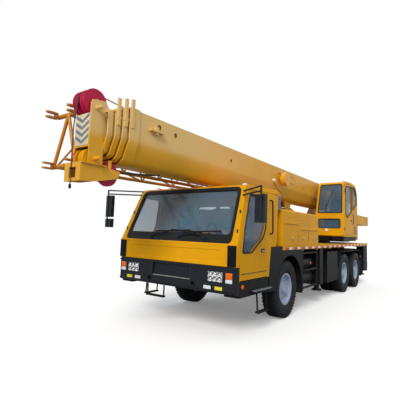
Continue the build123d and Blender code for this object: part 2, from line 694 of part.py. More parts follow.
hub_r = 130
drum_r = 205
hand_hole_r = 205
hand_hole_size = 26
hand_hole_count = 8
front_dish = 40
dual_dish = 92
wheels = [  # name, axle's x, side, tyres' distances from the middle
    ("front_left", front_axle_x, 1, [front_wheel_y]),
    ("front_right", front_axle_x, -1, [front_wheel_y]),
    ("middle_left", rear_axles_x[0], 1, [dual_outer_y, dual_outer_y - dual_spacing]),
    ("middle_right", rear_axles_x[0], -1, [dual_outer_y, dual_outer_y - dual_spacing]),
    ("rear_left", rear_axles_x[1], 1, [dual_outer_y, dual_outer_y - dual_spacing]),
    ("rear_right", rear_axles_x[1], -1, [dual_outer_y, dual_outer_y - dual_spacing]),
]
for name, x, side, tyre_places in wheels:
    with BuildPart() as tyre:
        for place in tyre_places:
            add_tyre(x, side * place)
    write(tyre, f"tyre_{name}")
    with BuildPart() as rim:
        if len(tyre_places) == 1:
            add_rim(x, side * tyre_places[0], side, front_dish)
            add_hub(x, side, front_hub_y, 70)
        else:
            # the outer rim is dished inwards and the inner one outwards, back to back
            add_rim(x, side * tyre_places[0], side, -dual_dish)
            add_rim(x, side * tyre_places[1], -side, -dual_dish)
            add_hub(x, side, rear_hub_y, 90)
    write(rim, f"rim_{name}")

# ---------------------------------------------------------------- boom rest and hook block
boom_bottom = boom_top - boom_height
rest_x = (2020, 2120)
with BuildPart() as boom_rest:
    block(rest_x, (-300, 300), (cover_top, cover_top + 20))
    for y in mirrored((200, 260)):
        block((rest_x[0] + 15, rest_x[1] - 15), y, (cover_top, boom_bottom - clear - 60))
    block(rest_x, (-290, 290), (boom_bottom - clear - 60, boom_bottom - clear))
write(boom_rest, "boom_rest")

hook_x = 1500
hook_z = cover_top + 185
with BuildPart() as hook_block:
    # it lies on its side plates in a tray: sheaves behind, hook in front
    for y in mirrored((95, 120)):
        with BuildSketch(Plane.XZ.offset(-y[0])) as plate:
            with Locations((hook_x, hook_z)):
                SlotOverall(620, 340)
        extrude(plate.sketch, amount=-(y[1] - y[0]))
    for y in (-50, 0, 50):
        bar((hook_x - 140, y - 18, hook_z), (hook_x - 140, y + 18, hook_z), 150)
    bar((hook_x - 140, -120, hook_z), (hook_x - 140, 120, hook_z), 40)
    bar((hook_x + 170, -120, hook_z), (hook_x + 170, 120, hook_z), 55)
    bar((hook_x + 170, 0, hook_z), (hook_x + 330, 0, hook_z), 42)
    with BuildSketch(Plane.XZ) as bend:
        with Locations((hook_x + 430, hook_z)):
            Circle(125)
            Circle(70, mode=Mode.SUBTRACT)
            with Locations((30, 110)):
                Rectangle(110, 130, mode=Mode.SUBTRACT)
    extrude(bend.sketch, amount=32, both=True)
    block((hook_x - 300, hook_x + 240), (-150, 150), (cover_top, cover_top + 15.5))
write(hook_block, "hook_block")

# ---------------------------------------------------------------- turntable
table_top = table_bottom + table_thick
pivot = Vector(boom_pin_x, 0, boom_pin_z)
with BuildPart() as turntable_frame:
    block((table_rear, table_front), (-table_half, table_half), (table_bottom, table_top))
    chamfer(turntable_frame.edges().filter_by(Axis.Z).group_by(Axis.X)[-1], 160)
    # brackets that carry the operator's cab and the oil tank
    block((op_front - 680, op_front - 20), (table_half, side_y - 20), (table_bottom, table_top))
    block((op_rear + 60, op_front - 500), (-side_y + 20, -table_half), (table_bottom, table_top))
    cheek_outline = [
        (boom_pin_x - 330, table_top), (boom_pin_x - 210, boom_pin_z + 80), (boom_pin_x - 90, boom_pin_z + 190),
        (boom_pin_x + 90, boom_pin_z + 190), (boom_pin_x + 210, boom_pin_z + 80), (lift_foot_x + 220, 2000),
        (table_front - 300, table_top),
    ]
    for y in mirrored((cheek_y, cheek_y + cheek)):
        side_plate(cheek_outline, y)
    # cross plate behind the boom's foot, boom pin and lift cylinder pin
    block((boom_pin_x - 300, boom_pin_x - 270), (-cheek_y, cheek_y), (table_top, boom_pin_z - 420))
    bar((boom_pin_x, -cheek_y, boom_pin_z), (boom_pin_x, cheek_y, boom_pin_z), boom_pin_r)
    bar((lift_foot_x, -cheek_y, lift_foot_z), (lift_foot_x, cheek_y, lift_foot_z), lift_pin_r)
    # slewing ring, standing on the carrier's pedestal with a small gap
    with BuildSketch(Plane.XY.offset(table_bottom - 1)) as ring:
        with Locations((slew_x, 0)):
            Circle(slew_ring_r - 120)
    extrude(ring.sketch, amount=2)
write(turntable_frame, "turntable_frame")

winches = [  # middle x, middle z, flange radius, half length
    (boom_pin_x + 130, table_top + 250, 215, 230), (boom_pin_x - 580, table_top + 260, 235, 300),
]
with BuildPart() as winch_pair:
    for x, z, flange, half in winches:
        bar((x, -half, z), (x, half, z), flange - 70)
        for y in (-half, half):
            bar((x, y - 12, z), (x, y + 12, z), flange)
        for y in mirrored((half + 12, half + 42)):
            side_plate([(x - 130, table_top), (x + 130, table_top), (x + 60, z + 60), (x - 60, z + 60)], y)
        bar((x, -half - 12, z), (x, half + 12, z), 40)
write(winch_pair, "winches")

with BuildPart() as counterweight:
    block((tail_x, table_rear), (-side_y, side_y), (wing_bottom, wing_top))
    chamfer(counterweight.edges().filter_by(Axis.Z).group_by(Axis.X)[0], 110)
    block((tail_x + 40, table_rear), (-table_half, table_half), (table_bottom + 40, wing_bottom))
write(counterweight, "counterweight")

with BuildPart() as turntable_boxes:
    # side beams from the counterweight to the operator's cab and to the oil tank
    for y in mirrored((1000, side_y)):
        block((table_rear, op_rear), y, (wing_bottom, wing_top))
    block((op_rear, op_front - 500), (-side_y + 10, -cheek_y - cheek - 60), (table_top, wing_top - 60))
    fillet(turntable_boxes.edges().filter_by(Axis.X).group_by(Axis.Z)[-1], 30)
write(turntable_boxes, "turntable_boxes")

# ---------------------------------------------------------------- operator's cab
op_inner = side_y - op_wall
op_outline = [
    (op_front, op_bottom), (op_front, 3060), (op_front - 110, 3160), (op_front - 1000, op_roof),
    (op_rear + 260, op_roof - 60), (op_rear + 60, 2960), (op_rear, 2740), (op_rear, op_bottom),
]
op_door_front = op_front - 85
op_door_rear = op_front - 930
op_door_outline = [
    (op_door_front, op_bottom + 60), (op_door_front, 3080), (op_door_rear, 3160), (op_door_rear, op_bottom + 60),
]
op_door_opening = [
    (op_door_front + clear, op_bottom + 60 - clear), (op_door_front + clear, 3080 + clear),
    (op_door_rear - clear, 3160 + clear), (op_door_rear - clear, op_bottom + 60 - clear),
]
op_window_foot = 2110            # lowest corner of the side windows, which rise to the rear
op_window_rise = 0.41
op_door_window = [
    (op_door_front - 55, op_window_foot + 110), (op_door_front - 55, 3030), (op_door_rear + 55, 3105),
    (op_door_rear + 55, op_window_foot + op_window_rise * 530), (op_door_front - 250, op_window_foot),
]
op_rear_window = [
    (op_door_rear - 65, op_window_foot + op_window_rise * 660), (op_door_rear - 65, 3115),
    (op_rear + 270, 3095), (op_rear + 80, 2850), (op_rear + 80, op_window_foot + op_window_rise * 1195),
]
op_boom_window = [
    (op_front - 75, 2300), (op_front - 75, 3000), (op_rear + 300, 3060), (op_rear + 160, 2400),
]
op_lean = 110                    # the wall towards the boom leans in this much, above the belt
op_belt = 2250
op_section = [
    (op_right, op_bottom), (op_right, op_belt), (op_right + op_lean, op_roof), (side_y - 50, op_roof),
    (side_y, op_roof - 60), (side_y, op_bottom),
]
op_screens = [
    [(op_right + 65, op_belt), (op_right + 65 + 0.83 * op_lean, 3085), (side_y - 60, 3085), (side_y - 60, op_belt)],
    [(op_right + 90, 1805), (op_right + 90, 2075), (side_y - 110, 2075), (side_y - 110, 1805)],
]

# what is cut out to make the cab hollow
with BuildPart() as operator_space:
    with BuildSketch(Plane.XZ.offset(-op_right)) as hollow:
        with BuildLine():
            Polyline(*op_outline, close=True)
        make_face()
        offset(amount=-op_wall, kind=Kind.INTERSECTION, mode=Mode.REPLACE)
    extrude(hollow.sketch, amount=-(side_y - op_right))
    with BuildSketch(Plane.YZ.offset(op_rear)) as across:
        with BuildLine():
            Polyline(*op_section, close=True)
        make_face()
        offset(amount=-op_wall, kind=Kind.INTERSECTION, mode=Mode.REPLACE)
    extrude(across.sketch, amount=op_front - op_rear, mode=Mode.INTERSECT)

with BuildPart() as operator_cab:
    side_plate(op_outline, (op_right, side_y), radius=40)
    with BuildSketch(Plane.YZ.offset(op_rear)) as across:
        with BuildLine():
            Polyline(*op_section, close=True)
        make_face()
    extrude(across.sketch, amount=op_front - op_rear, mode=Mode.INTERSECT)
    add(operator_space.part, mode=Mode.SUBTRACT)
    for screen in op_screens:
        with BuildSketch(Plane.YZ.offset(op_front - op_wall - 20)) as opening:
            with BuildLine():
                Polyline(*screen, close=True)
            make_face()
            fillet(opening.vertices(), 50)
        extrude(opening.sketch, amount=op_wall + 40, mode=Mode.SUBTRACT)
    side_plate(op_door_opening, (op_inner - 1, side_y + 1), Mode.SUBTRACT)
    side_plate(op_rear_window, (op_inner - 1, side_y + 1), Mode.SUBTRACT, 45)
    # window towards the boom, and one to the rear
    side_plate(op_boom_window, (op_right - 1, op_right + op_lean + op_wall + 1), Mode.SUBTRACT, 45)
    block((op_rear - 1, op_rear + op_wall + 1), (op_right + 150, side_y - 150), (2150, 2650), Mode.SUBTRACT)
write(operator_cab, "operator_cab")

with BuildPart() as operator_glass:
    side_plate(op_boom_window, (op_right - 1, op_right + op_lean + op_wall + 1), radius=45)
    pane = (op_wall - glass) / 2
    with BuildSketch(Plane.YZ.offset(op_rear)) as across:
        with BuildLine():
            Polyline((op_right + pane, op_belt), (op_right + pane + op_lean, op_roof),
                     (op_right + pane + op_lean + glass, op_roof), (op_right + pane + glass, op_belt), close=True)
        make_face()
    extrude(across.sketch, amount=op_front - op_rear, mode=Mode.INTERSECT)
    for screen in op_screens:
        with BuildSketch(Plane.YZ.offset(op_front - op_wall / 2 - glass / 2)) as opening:
            with BuildLine():
                Polyline(*screen, close=True)
            make_face()
            fillet(opening.vertices(), 50)
        extrude(opening.sketch, amount=glass)
    middle = side_y - op_wall / 2
    side_plate(op_rear_window, (middle - glass / 2, middle + glass / 2), radius=45)
    middle = op_rear + op_wall / 2
    block((middle - glass / 2, middle + glass / 2), (op_right + 150, side_y - 150), (2150, 2650))
write(operator_glass, "operator_glass")

with BuildPart() as operator_door:
    side_plate(op_door_outline, (op_inner, side_y))
    side_plate(op_door_window, (op_inner - 1, side_y + 1), Mode.SUBTRACT, 45)
write(operator_door, "operator_door")

with BuildPart() as operator_door_glass:
    middle = side_y - op_wall / 2
    side_plate(op_door_window, (middle - glass / 2, middle + glass / 2), radius=45)
write(operator_door_glass, "operator_door_glass")

with BuildPart() as operator_seat:
    seat_x = op_front - 980
    seat_y = (op_right + side_y) / 2
    floor = op_bottom + op_wall
    block((seat_x - 200, seat_x + 180), (seat_y - 180, seat_y + 180), (floor, floor + 330))
    block((seat_x - 230, seat_x + 270), (seat_y - 240, seat_y + 240), (floor + 330, floor + 450))
    side_plate([(seat_x - 230, floor + 450), (seat_x - 110, floor + 450), (seat_x - 190, floor + 1080),
                (seat_x - 290, floor + 1080)], (seat_y - 230, seat_y + 230))
    # pedal box in front, and a console with two levers on each side
    block((op_front - 330, op_front - 110), (seat_y - 200, seat_y + 200), (floor, floor + 560))
    for y in (seat_y - 300, seat_y + 300):
        block((seat_x - 150, seat_x + 330), (y - 45, y + 45), (floor, floor + 560))
        for x in (seat_x + 190, seat_x + 270):
            bar((x, y, floor + 560), (x + 20, y, floor + 760), 12)
write(operator_seat, "operator_seat")

# ---------------------------------------------------------------- boom
boom_step = boom_wall + boom_gap
boom_outline = [  # half width, height above the bottom
    (boom_half, boom_height), (boom_half, boom_height - boom_side), (0.66 * boom_half, 0.09 * boom_height),
    (0.36 * boom_half, 0),
]


def boom_tube(outer, inner, x):
    """A length of boom between two values of x; outer and inner are distances in from the base outline."""
    right = [(half, boom_bottom + height) for half, height in boom_outline]
    left = [(-half, z) for half, z in reversed(right)]
    for inset, mode in ((outer, Mode.ADD), (inner, Mode.SUBTRACT)):
        if inset is None:
            continue
        with BuildSketch(Plane.YZ.offset(x[0])) as section:
            with BuildLine():
                Polyline(*right, *left, close=True)
            make_face()
            if inset:
                offset(amount=-inset, kind=Kind.INTERSECTION, mode=Mode.REPLACE)
        extrude(section.sketch, amount=x[1] - x[0], mode=mode)


def collar_ribs(x, half, top):
    """Upright ribs on both sides of a collar, standing above the boom."""
    for y in mirrored((half - 8, half + 26)):
        block(x, y, (boom_top - 270, top))
        block((x[0] - 8, x[1] + 8), y, (boom_top - 190, boom_top - 150))


rib_top = 3330
lift_lug_y = 85
jib_y = (-900, -380)
jib_z = (2450, 3200)
hang_x = [-1400, 3900]           # brackets that carry the stowed jib
reel_x = 110
reel_z = 2930
reel_r = 165
with BuildPart() as boom_base:
    boom_tube(0, boom_wall, (boom_rear, boom_front))
    boom_tube(-14, boom_wall, (boom_front - 170, boom_front))
    collar_ribs((boom_front - 60, boom_front - 15), boom_half, rib_top)
    # foot: two side plates back to the pin's boss
    foot_outline = [
        (boom_rear + 300, boom_top - 60), (boom_rear + 300, boom_bottom + 330), (boom_rear, boom_bottom + 130),
        (boom_pin_x - 90, boom_pin_z - 100), (boom_pin_x - 130, boom_pin_z + 20), (boom_pin_x - 60, boom_pin_z + 120),
        (boom_rear, boom_top - 60),
    ]
    for y in mirrored((boom_half - 40, boom_half)):
        side_plate(foot_outline, y)
    block((boom_rear, boom_rear + 40), (-boom_half + 20, boom_half - 20), (boom_bottom + 330, boom_top - 60))
    bar((boom_pin_x, -boom_half, boom_pin_z), (boom_pin_x, boom_half, boom_pin_z), boom_pin_r + 50)
    bar((boom_pin_x, -boom_half - 1, boom_pin_z), (boom_pin_x, boom_half + 1, boom_pin_z),
        boom_pin_r + running_gap, Mode.SUBTRACT)
    # lugs under the boom for the lift cylinder's rod
    for y in mirrored((lift_lug_y, lift_lug_y + 30)):
        side_plate([(lift_eye_x - 260, boom_bottom + 1), (lift_eye_x + 260, boom_bottom + 1),
                    (lift_eye_x + 90, lift_eye_z - 80), (lift_eye_x - 90, lift_eye_z - 80)], y)
        with BuildSketch(Plane.XZ.offset(-y[0])) as eye:
            with Locations((lift_eye_x, lift_eye_z)):
                Circle(lift_pin_r + running_gap)
        extrude(eye.sketch, amount=-(y[1] - y[0]), mode=Mode.SUBTRACT)
    # rope guide lug and measuring reel on the left side
    block((4480, 4760), (boom_half - 1, boom_half + 60), (2985, 3010))
    block((4590, 4650), (boom_half - 1, boom_half + 45), (2950, 3060))
    block((reel_x - 60, reel_x + 60), (boom_half - 1, boom_half + 70), (reel_z - 60, reel_z + 60))
    bar((reel_x, boom_half + 60, reel_z), (reel_x, boom_half + 180, reel_z), reel_r)
    # brackets for the stowed jib on the right side
    for x in hang_x:
        block((x - 40, x + 40), (jib_y[1] - 40, -boom_half + 1), (jib_z[0] + 330, jib_z[0] + 380))
        block((x - 40, x + 40), (jib_y[1] - 40, jib_y[1] + 10), (jib_z[0] + 60, jib_z[0] + 380))
    # access holes in the left side, front to back
    for x, z, size in ((4540, 3080, 45), (4170, 3050, 40), (2490, 2960, 34), (-1490, 2880, 30)):
        bar((x, boom_half - 20, z), (x, boom_half + 1, z), size, Mode.SUBTRACT)
write(boom_base, "boom_base")

section_fronts = [boom_front + collar_step, boom_front + 2 * collar_step]
for number, front in enumerate(section_fronts, 1):
    with BuildPart() as section:
        inset = number * boom_step
        boom_tube(inset, inset + boom_wall, (front - section_length + 150 * number, front))
        boom_tube(inset - 16, inset + boom_wall, (front - 70, front))
        collar_ribs((front - 60, front - 15), boom_half - inset + 12, rib_top - 15 * number)
    write(section, f"boom_section_{number + 1}")

head_rear = boom_front + 3 * collar_step
box_front = head_front + 110
box_rear = head_front - 510
box_top = boom_bottom - 83
box_bottom = box_top - 222
top_sheave = (head_front - 90, boom_top - 15, 180)   # x, z, radius
low_sheave = (head_front - 80, boom_bottom - 15, 140)
tip_sheave = (box_rear + 140, box_top - 72, 165)
tip_y = 70
sheave_y = (-100, -50, 50, 100)
sheave_half = 20
with BuildPart() as boom_section_4:
    inset = 3 * boom_step
    boom_tube(inset, inset + boom_wall, (head_rear - section_length + 450, head_rear))
    boom_tube(inset - 16, inset + boom_wall, (head_rear - 70, head_rear))
    # head: two side plates, front plate, and the small box below with its sheave
    head_outline = [
        (head_rear - 120, boom_top - 125), (head_rear, boom_top + 30), (head_front - 20, boom_top),
        (head_front, boom_top - 45), (head_front, box_top + 8),
        (head_rear, box_top + 8), (head_rear, boom_bottom + 145), (head_rear - 120, boom_bottom + 265),
    ]
    for y in mirrored((head_half - 20, head_half)):
        side_plate(head_outline, y)
    block((head_front - 20, head_front), (-head_half + 20, head_half - 20),
          (low_sheave[1] + low_sheave[2] + 20, top_sheave[1] - top_sheave[2] - 8))
    block((head_rear, head_rear + 16), (-head_half + 20, head_half - 20), (boom_bottom + 245, boom_top - 245))
    box_outline = [
        (box_front, box_top), (box_front, box_bottom), (head_front - 120, box_bottom + 15),
        (box_rear + 70, box_bottom + 85), (box_rear, box_top - 82), (box_rear, box_top - 30),
        (head_rear - 60, box_top),
    ]
    for y in mirrored((135, 165)):
        side_plate(box_outline, y)
        block((tip_sheave[0] + 10, tip_sheave[0] + 40), y, (box_top - 60, box_top + 95))
    # the box's front is open in the middle
    for y in mirrored((70, 135)):
        block((box_front - 14, box_front), y, (box_bottom, box_top))
    block((box_front - 14, box_front), (-135, 135), (box_top - 50, box_top))
    block((box_front - 14, box_front), (-135, 135), (box_bottom, box_bottom + 40))
    block((head_rear - 60, box_front), (-135, 135), (box_top - 8, box_top))
    block((head_rear - 60, box_front), (-head_half - 30, head_half + 30), (box_top, box_top + 14))
    for x, z, radius in (top_sheave, low_sheave):
        bar((x, -head_half, z), (x, head_half, z), 35)
    bar((tip_sheave[0], -165, tip_sheave[1]), (tip_sheave[0], 165, tip_sheave[1]), 30)
    # four pins that the fly jib's forks fit when it is rigged
    for z in (boom_bottom - 5, boom_top - 95):
        for y in mirrored((head_half, head_half + 120)):
            bar((head_front - 90, y[0], z), (head_front - 90, y[1], z), 28)
    # slots where the sheaves come through the tube's end and the box's top
    block((head_rear - 45, head_rear + 1), (-142, 142), (boom_top - 130, boom_top - 80), Mode.SUBTRACT)
    block((low_sheave[0] - low_sheave[2], low_sheave[0] + low_sheave[2]), (-127, 127), (box_top - 9, box_top + 15),
          Mode.SUBTRACT)
    block((tip_sheave[0] - tip_sheave[2] - 6, tip_sheave[0] + tip_sheave[2] + 6), (tip_y - 28, tip_y + 28),
          (box_top - 82, box_top + 18), Mode.SUBTRACT)
    bar((tip_sheave[0], -140, tip_sheave[1]), (tip_sheave[0], 140, tip_sheave[1]), 30)
write(boom_section_4, "boom_section_4")


def add_sheave(x, y, z, radius, half):
    """A grooved sheave on a cross shaft."""
    groove = 0.1 * radius
    points = [(36, y - half), (radius, y - half), (radius - groove, y - 0.3 * half), (radius - groove, y + 0.3 * half),
              (radius, y + half), (36, y + half)]
    with BuildSketch(Plane.XY.offset(z)) as section:
        with BuildLine():
            Polyline(*[(x + distance, along) for distance, along in points], close=True)
        make_face()
    revolve(section.sketch, axis=Axis((x, 0, z), (0, 1, 0)))


with BuildPart() as head_sheaves:
    for x, z, radius in (top_sheave, low_sheave):
        for y in sheave_y:
            add_sheave(x, y, z, radius, sheave_half)
    add_sheave(tip_sheave[0], tip_y, tip_sheave[1], tip_sheave[2], sheave_half)
write(head_sheaves, "head_sheaves")

# ---------------------------------------------------------------- fly jib, stowed on the boom's right side
chord_r = 28
lace_r = 15
jib_root_x = 5400
jib_tip_x = -2300
jib_bays = 9
jib_middle = sum(jib_y) / 2


def chord(name, share):
    """A point on one of the three chords, from the root at 0 to the tip at 1."""
    x = jib_root_x + share * (jib_tip_x - jib_root_x)
    spread = (jib_y[1] - jib_y[0]) / 2 * (1 - 0.45 * share)
    y = {"top": jib_middle, "near": jib_middle + spread, "far": jib_middle - spread}[name]
    low = jib_z[0] + 90 * share
    high = jib_z[1] - 330 * share
    return (x, y, high if name == "top" else low)


with BuildPart() as fly_jib:
    for name in ("top", "near", "far"):
        bar(chord(name, 0), chord(name, 1), chord_r)
    for bay in range(jib_bays):
        start, middle, end = bay / jib_bays, (bay + 0.5) / jib_bays, (bay + 1) / jib_bays
        for name in ("near", "far"):
            bar(chord(name, start), chord("top", middle), lace_r)
            bar(chord("top", middle), chord(name, end), lace_r)
        bar(chord("near", start), chord("far", end), lace_r)
    bar(chord("near", 1), chord("far", 1), chord_r)
    for name in ("near", "far"):
        bar(chord("top", 1), chord(name, 1), chord_r)
    # root: upper and lower cross bars, raking legs, and a fork at each of the four corners
    fork_x = head_front - 140
    for y in jib_y:
        for z in jib_z:
            bar((jib_root_x, y, z), (fork_x, y, z), 32)
            for side in (-1, 1):
                with BuildSketch(Plane.XY.offset(z + side * 36 - 10)) as prong:
                    with BuildLine():
                        Polyline((fork_x - 40, y - 30), (fork_x + 40, y - 46), (head_front - 20, y - 38),
                                 (head_front + 8, y), (head_front - 20, y + 38), (fork_x + 40, y + 46),
                                 (fork_x - 40, y + 30), close=True)
                    make_face()
                extrude(prong.sketch, amount=20)
        bar((jib_root_x + 20, jib_middle, jib_z[1]), (fork_x - 40, y, jib_z[0]), 26)
    for z in jib_z:
        bar((jib_root_x, jib_y[0] - 20, z), (jib_root_x, jib_y[1] + 20, z), 34)
write(fly_jib, "fly_jib")

# ---------------------------------------------------------------- lift cylinder
lift_run = Vector(lift_eye_x - lift_foot_x, 0, lift_eye_z - lift_foot_z)
lift_length = lift_run.length
along = lift_run.normalized()
foot = Vector(lift_foot_x, 0, lift_foot_z)
barrel_end = lift_length - 240


def on_lift(distance):
    """A point on the lift cylinder's line, measured from its foot pin."""
    return tuple(foot + along * distance)


with BuildPart() as lift_cylinder_barrel:
    bar(on_lift(60), on_lift(barrel_end), lift_barrel_r)
    bar((lift_foot_x, -110, lift_foot_z), (lift_foot_x, 110, lift_foot_z), 95)
    bar((lift_foot_x, -111, lift_foot_z), (lift_foot_x, 111, lift_foot_z), lift_pin_r + running_gap, Mode.SUBTRACT)
    bar(on_lift(300), on_lift(barrel_end + 1), lift_rod_r + running_gap, Mode.SUBTRACT)
write(lift_cylinder_barrel, "lift_cylinder_barrel")

with BuildPart() as lift_cylinder_rod:
    bar(on_lift(310), on_lift(lift_length), lift_rod_r)
    bar((lift_eye_x, -lift_lug_y + 6, lift_eye_z), (lift_eye_x, lift_lug_y - 6, lift_eye_z), 88)
write(lift_cylinder_rod, "lift_cylinder_rod")

# motion of the lift cylinder as the boom rises, for the joints' ratios
luff = radians(80)
raised = Vector(
    boom_pin_x + (lift_eye_x - boom_pin_x) * cos(luff) - (lift_eye_z - boom_pin_z) * sin(luff), 0,
    boom_pin_z + (lift_eye_x - boom_pin_x) * sin(luff) + (lift_eye_z - boom_pin_z) * cos(luff))
raised_run = raised - foot
turn = atan2(raised_run.Z, raised_run.X) - atan2(lift_run.Z, lift_run.X)
print("barrel turns", round(turn / luff, 5), "of the boom's angle; rod slides",
      round((raised_run.length - lift_length) / 1000 / luff, 5), "m per radian")
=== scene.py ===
# %% [markdown]
# # A truck crane, dressed
# The shapes come from CAD as fixed nodes, in metres: +X is forward, +Y is the vehicle's left, +Z is up.
# This lesson gives each surface its finish and adds the small pieces that drawings leave out: gaskets,
# wipers, lamps, tread, bolts, ropes, hoses and trim. A piece rides on the CAD body that it is bolted to.

# %% Load the frame
import bpy
import bmesh
import json
from math import cos, pi, radians, sin
from mathutils import Matrix, Vector

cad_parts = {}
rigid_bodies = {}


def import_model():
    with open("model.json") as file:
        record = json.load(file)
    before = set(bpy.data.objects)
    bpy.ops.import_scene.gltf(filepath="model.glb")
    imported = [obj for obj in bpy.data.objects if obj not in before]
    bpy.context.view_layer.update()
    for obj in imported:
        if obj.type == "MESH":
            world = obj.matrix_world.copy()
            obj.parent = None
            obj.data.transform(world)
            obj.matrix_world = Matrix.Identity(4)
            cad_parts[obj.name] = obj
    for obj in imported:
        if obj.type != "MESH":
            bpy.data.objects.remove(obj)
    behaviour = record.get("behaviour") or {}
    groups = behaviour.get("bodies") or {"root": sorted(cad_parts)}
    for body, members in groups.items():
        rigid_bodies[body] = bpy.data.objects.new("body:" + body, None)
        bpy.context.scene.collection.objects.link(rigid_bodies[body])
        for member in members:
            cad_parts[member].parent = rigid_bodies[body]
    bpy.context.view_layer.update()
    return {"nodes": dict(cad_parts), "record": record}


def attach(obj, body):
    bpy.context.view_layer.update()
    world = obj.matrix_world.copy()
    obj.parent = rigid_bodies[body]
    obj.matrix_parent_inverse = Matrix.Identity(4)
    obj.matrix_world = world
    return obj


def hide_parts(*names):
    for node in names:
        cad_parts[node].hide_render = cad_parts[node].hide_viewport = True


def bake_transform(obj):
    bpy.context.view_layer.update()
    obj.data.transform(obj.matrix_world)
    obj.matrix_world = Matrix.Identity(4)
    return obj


for default in list(bpy.data.objects):
    bpy.data.objects.remove(default)
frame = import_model()
nodes = frame["nodes"]

# %% [markdown]
# ## Camera and light
# The camera stands at the crane's front left corner, about a metre and a half up, and looks slightly up.
# Area lamps could light it, but each would show as a white patch in the paint. A wide sky and one soft sun
# are reflected by every panel alike. The floor is pale, and only keeps the shadow.

# %% Camera
def linked(name, data):
    """A new object in the scene, with that camera, light or mesh."""
    made = bpy.data.objects.new(name, data)
    bpy.context.collection.objects.link(made)
    return made


camera_yaw, camera_pitch, camera_roll = 3.776, 0.0884, 0.034
camera = linked("camera", bpy.data.cameras.new("camera"))
camera.data.lens = 31.65
camera.data.sensor_width = 36.0
camera.matrix_world = (
    Matrix.Translation((8.263, 3.851, 1.583))
    @ Matrix.Rotation(camera_yaw - pi / 2, 4, "Z")
    @ Matrix.Rotation(pi / 2 + camera_pitch, 4, "X")
    @ Matrix.Rotation(camera_roll, 4, "Z"))
bpy.context.scene.camera = camera
bpy.context.scene.view_settings.view_transform = "Standard"
print("camera at", tuple(round(v, 2) for v in camera.location))

# %% [markdown]
# ## Node trees written as sums
# Shader maths could be wired node by node, but long chains are hard to read. So a small class wraps a socket,
# and sums of sockets read as Python. Any other node comes from one method, which takes the node's type, its
# settings and what its sockets get.

# %% Term: a socket that can be added, scaled and compared
class Term:
    def __init__(self, tree, socket):
        self.tree = tree
        self.socket = socket

    def maths(self, operation, first, second=0.0):
        return self.tree.add("ShaderNodeMath", {"operation": operation}, {0: first, 1: second})

    def __add__(self, other):
        return self.maths("ADD", self, other)

    def __sub__(self, other):
        return self.maths("SUBTRACT", self, other)

    def __rsub__(self, other):
        return self.maths("SUBTRACT", other, self)

    def __mul__(self, other):
        return self.maths("MULTIPLY", self, other)

    def __truediv__(self, other):
        return self.maths("DIVIDE", self, other)

    def __pow__(self, other):
        return self.maths("POWER", self, other)

    def __gt__(self, other):
        return self.maths("GREATER_THAN", self, other)

    def __lt__(self, other):
        return self.maths("LESS_THAN", self, other)

    def __abs__(self):
        return self.maths("ABSOLUTE", self)

    __radd__ = __add__
    __rmul__ = __mul__

    def at_least(self, other):
        return self.maths("MAXIMUM", self, other)

    def at_most(self, other):
        return self.maths("MINIMUM", self, other)

    def wave(self):
        return self.maths("SINE", self)

    def fraction(self):
        return self.maths("FRACT", self)


print("a Term can be added, scaled and compared")

# %% Tree: any node from one method
class Tree:
    def __init__(self, tree):
        self.tree = tree
        tree.nodes.clear()

    def add(self, kind, settings=None, inputs=None, output=0):
        node = self.tree.nodes.new(kind)
        for key, value in (settings or {}).items():
            setattr(node, key, value)
        for key, value in (inputs or {}).items():
            if isinstance(value, Term):
                self.tree.links.new(value.socket, node.inputs[key])
            else:
                node.inputs[key].default_value = value
        return Term(self, node.outputs[output]) if len(node.outputs) else node


print("a Tree adds nodes of any type")

# %% Finish: a material with one Principled shader
class Finish(Tree):
    def __init__(self, name, **constants):
        self.material = bpy.data.materials.new(name)
        self.material.use_nodes = True
        super().__init__(self.material.node_tree)
        named = {key.replace("_", " ").title(): value for key, value in constants.items()}
        named = {key.replace("Ior", "IOR"): value for key, value in named.items()}
        self.surface = self.add("ShaderNodeBsdfPrincipled", {}, named)
        self.add("ShaderNodeOutputMaterial", {}, {"Surface": self.surface})
        self.place = self.add("ShaderNodeTexCoord", {}, {}, "Object")
        self.axes = [self.add("ShaderNodeSeparateXYZ", {}, {0: self.place}, axis) for axis in range(3)]

    def give(self, socket, value):
        self.tree.links.new(value.socket, self.surface.socket.node.inputs[socket])

    def noise(self, scale, detail=3.0):
        return self.add("ShaderNodeTexNoise", {}, {"Vector": self.place, "Scale": scale, "Detail": detail})

    def mix(self, factor, first, second):
        return self.add("ShaderNodeMix", {"data_type": "RGBA"}, {0: factor, 6: first, 7: second}, 2)

    def between(self, value, low, high):
        """0 below low, 1 above high, and a smooth step from one to the other."""
        return self.add("ShaderNodeMapRange", {"interpolation_type": "SMOOTHSTEP"},
                        {0: value, 1: low, 2: high})

    def emboss(self, height, depth):
        """Height from 0 to 1 shows as relief of that depth, in metres."""
        relief = self.add("ShaderNodeBump", {}, {"Strength": 1.0, "Distance": depth, "Height": height})
        self.give("Normal", relief)


def colour(red, green, blue):
    """A linear colour with full cover."""
    return (red, green, blue, 1.0)


print("node helpers ready")

# %% World
world = bpy.data.worlds.new("sky")
world.use_nodes = True
bpy.context.scene.world = world
sky = Tree(world.node_tree)
seen = [sky.add("ShaderNodeLightPath", {}, {}, name) for name in
        ("Is Camera Ray", "Is Glossy Ray", "Is Transmission Ray")]
lit = sky.add("ShaderNodeBackground", {}, {"Color": colour(0.92, 0.96, 1.0), "Strength": 0.62})
white = sky.add("ShaderNodeBackground", {}, {"Color": colour(1, 1, 1), "Strength": 1.0})
sky.add("ShaderNodeOutputWorld", {}, {"Surface": sky.add(
    "ShaderNodeMixShader", {}, {0: seen[0].at_least(seen[1]).at_least(seen[2]), 1: lit, 2: white})})

print("sky ready:", len(sky.tree.nodes), "nodes")

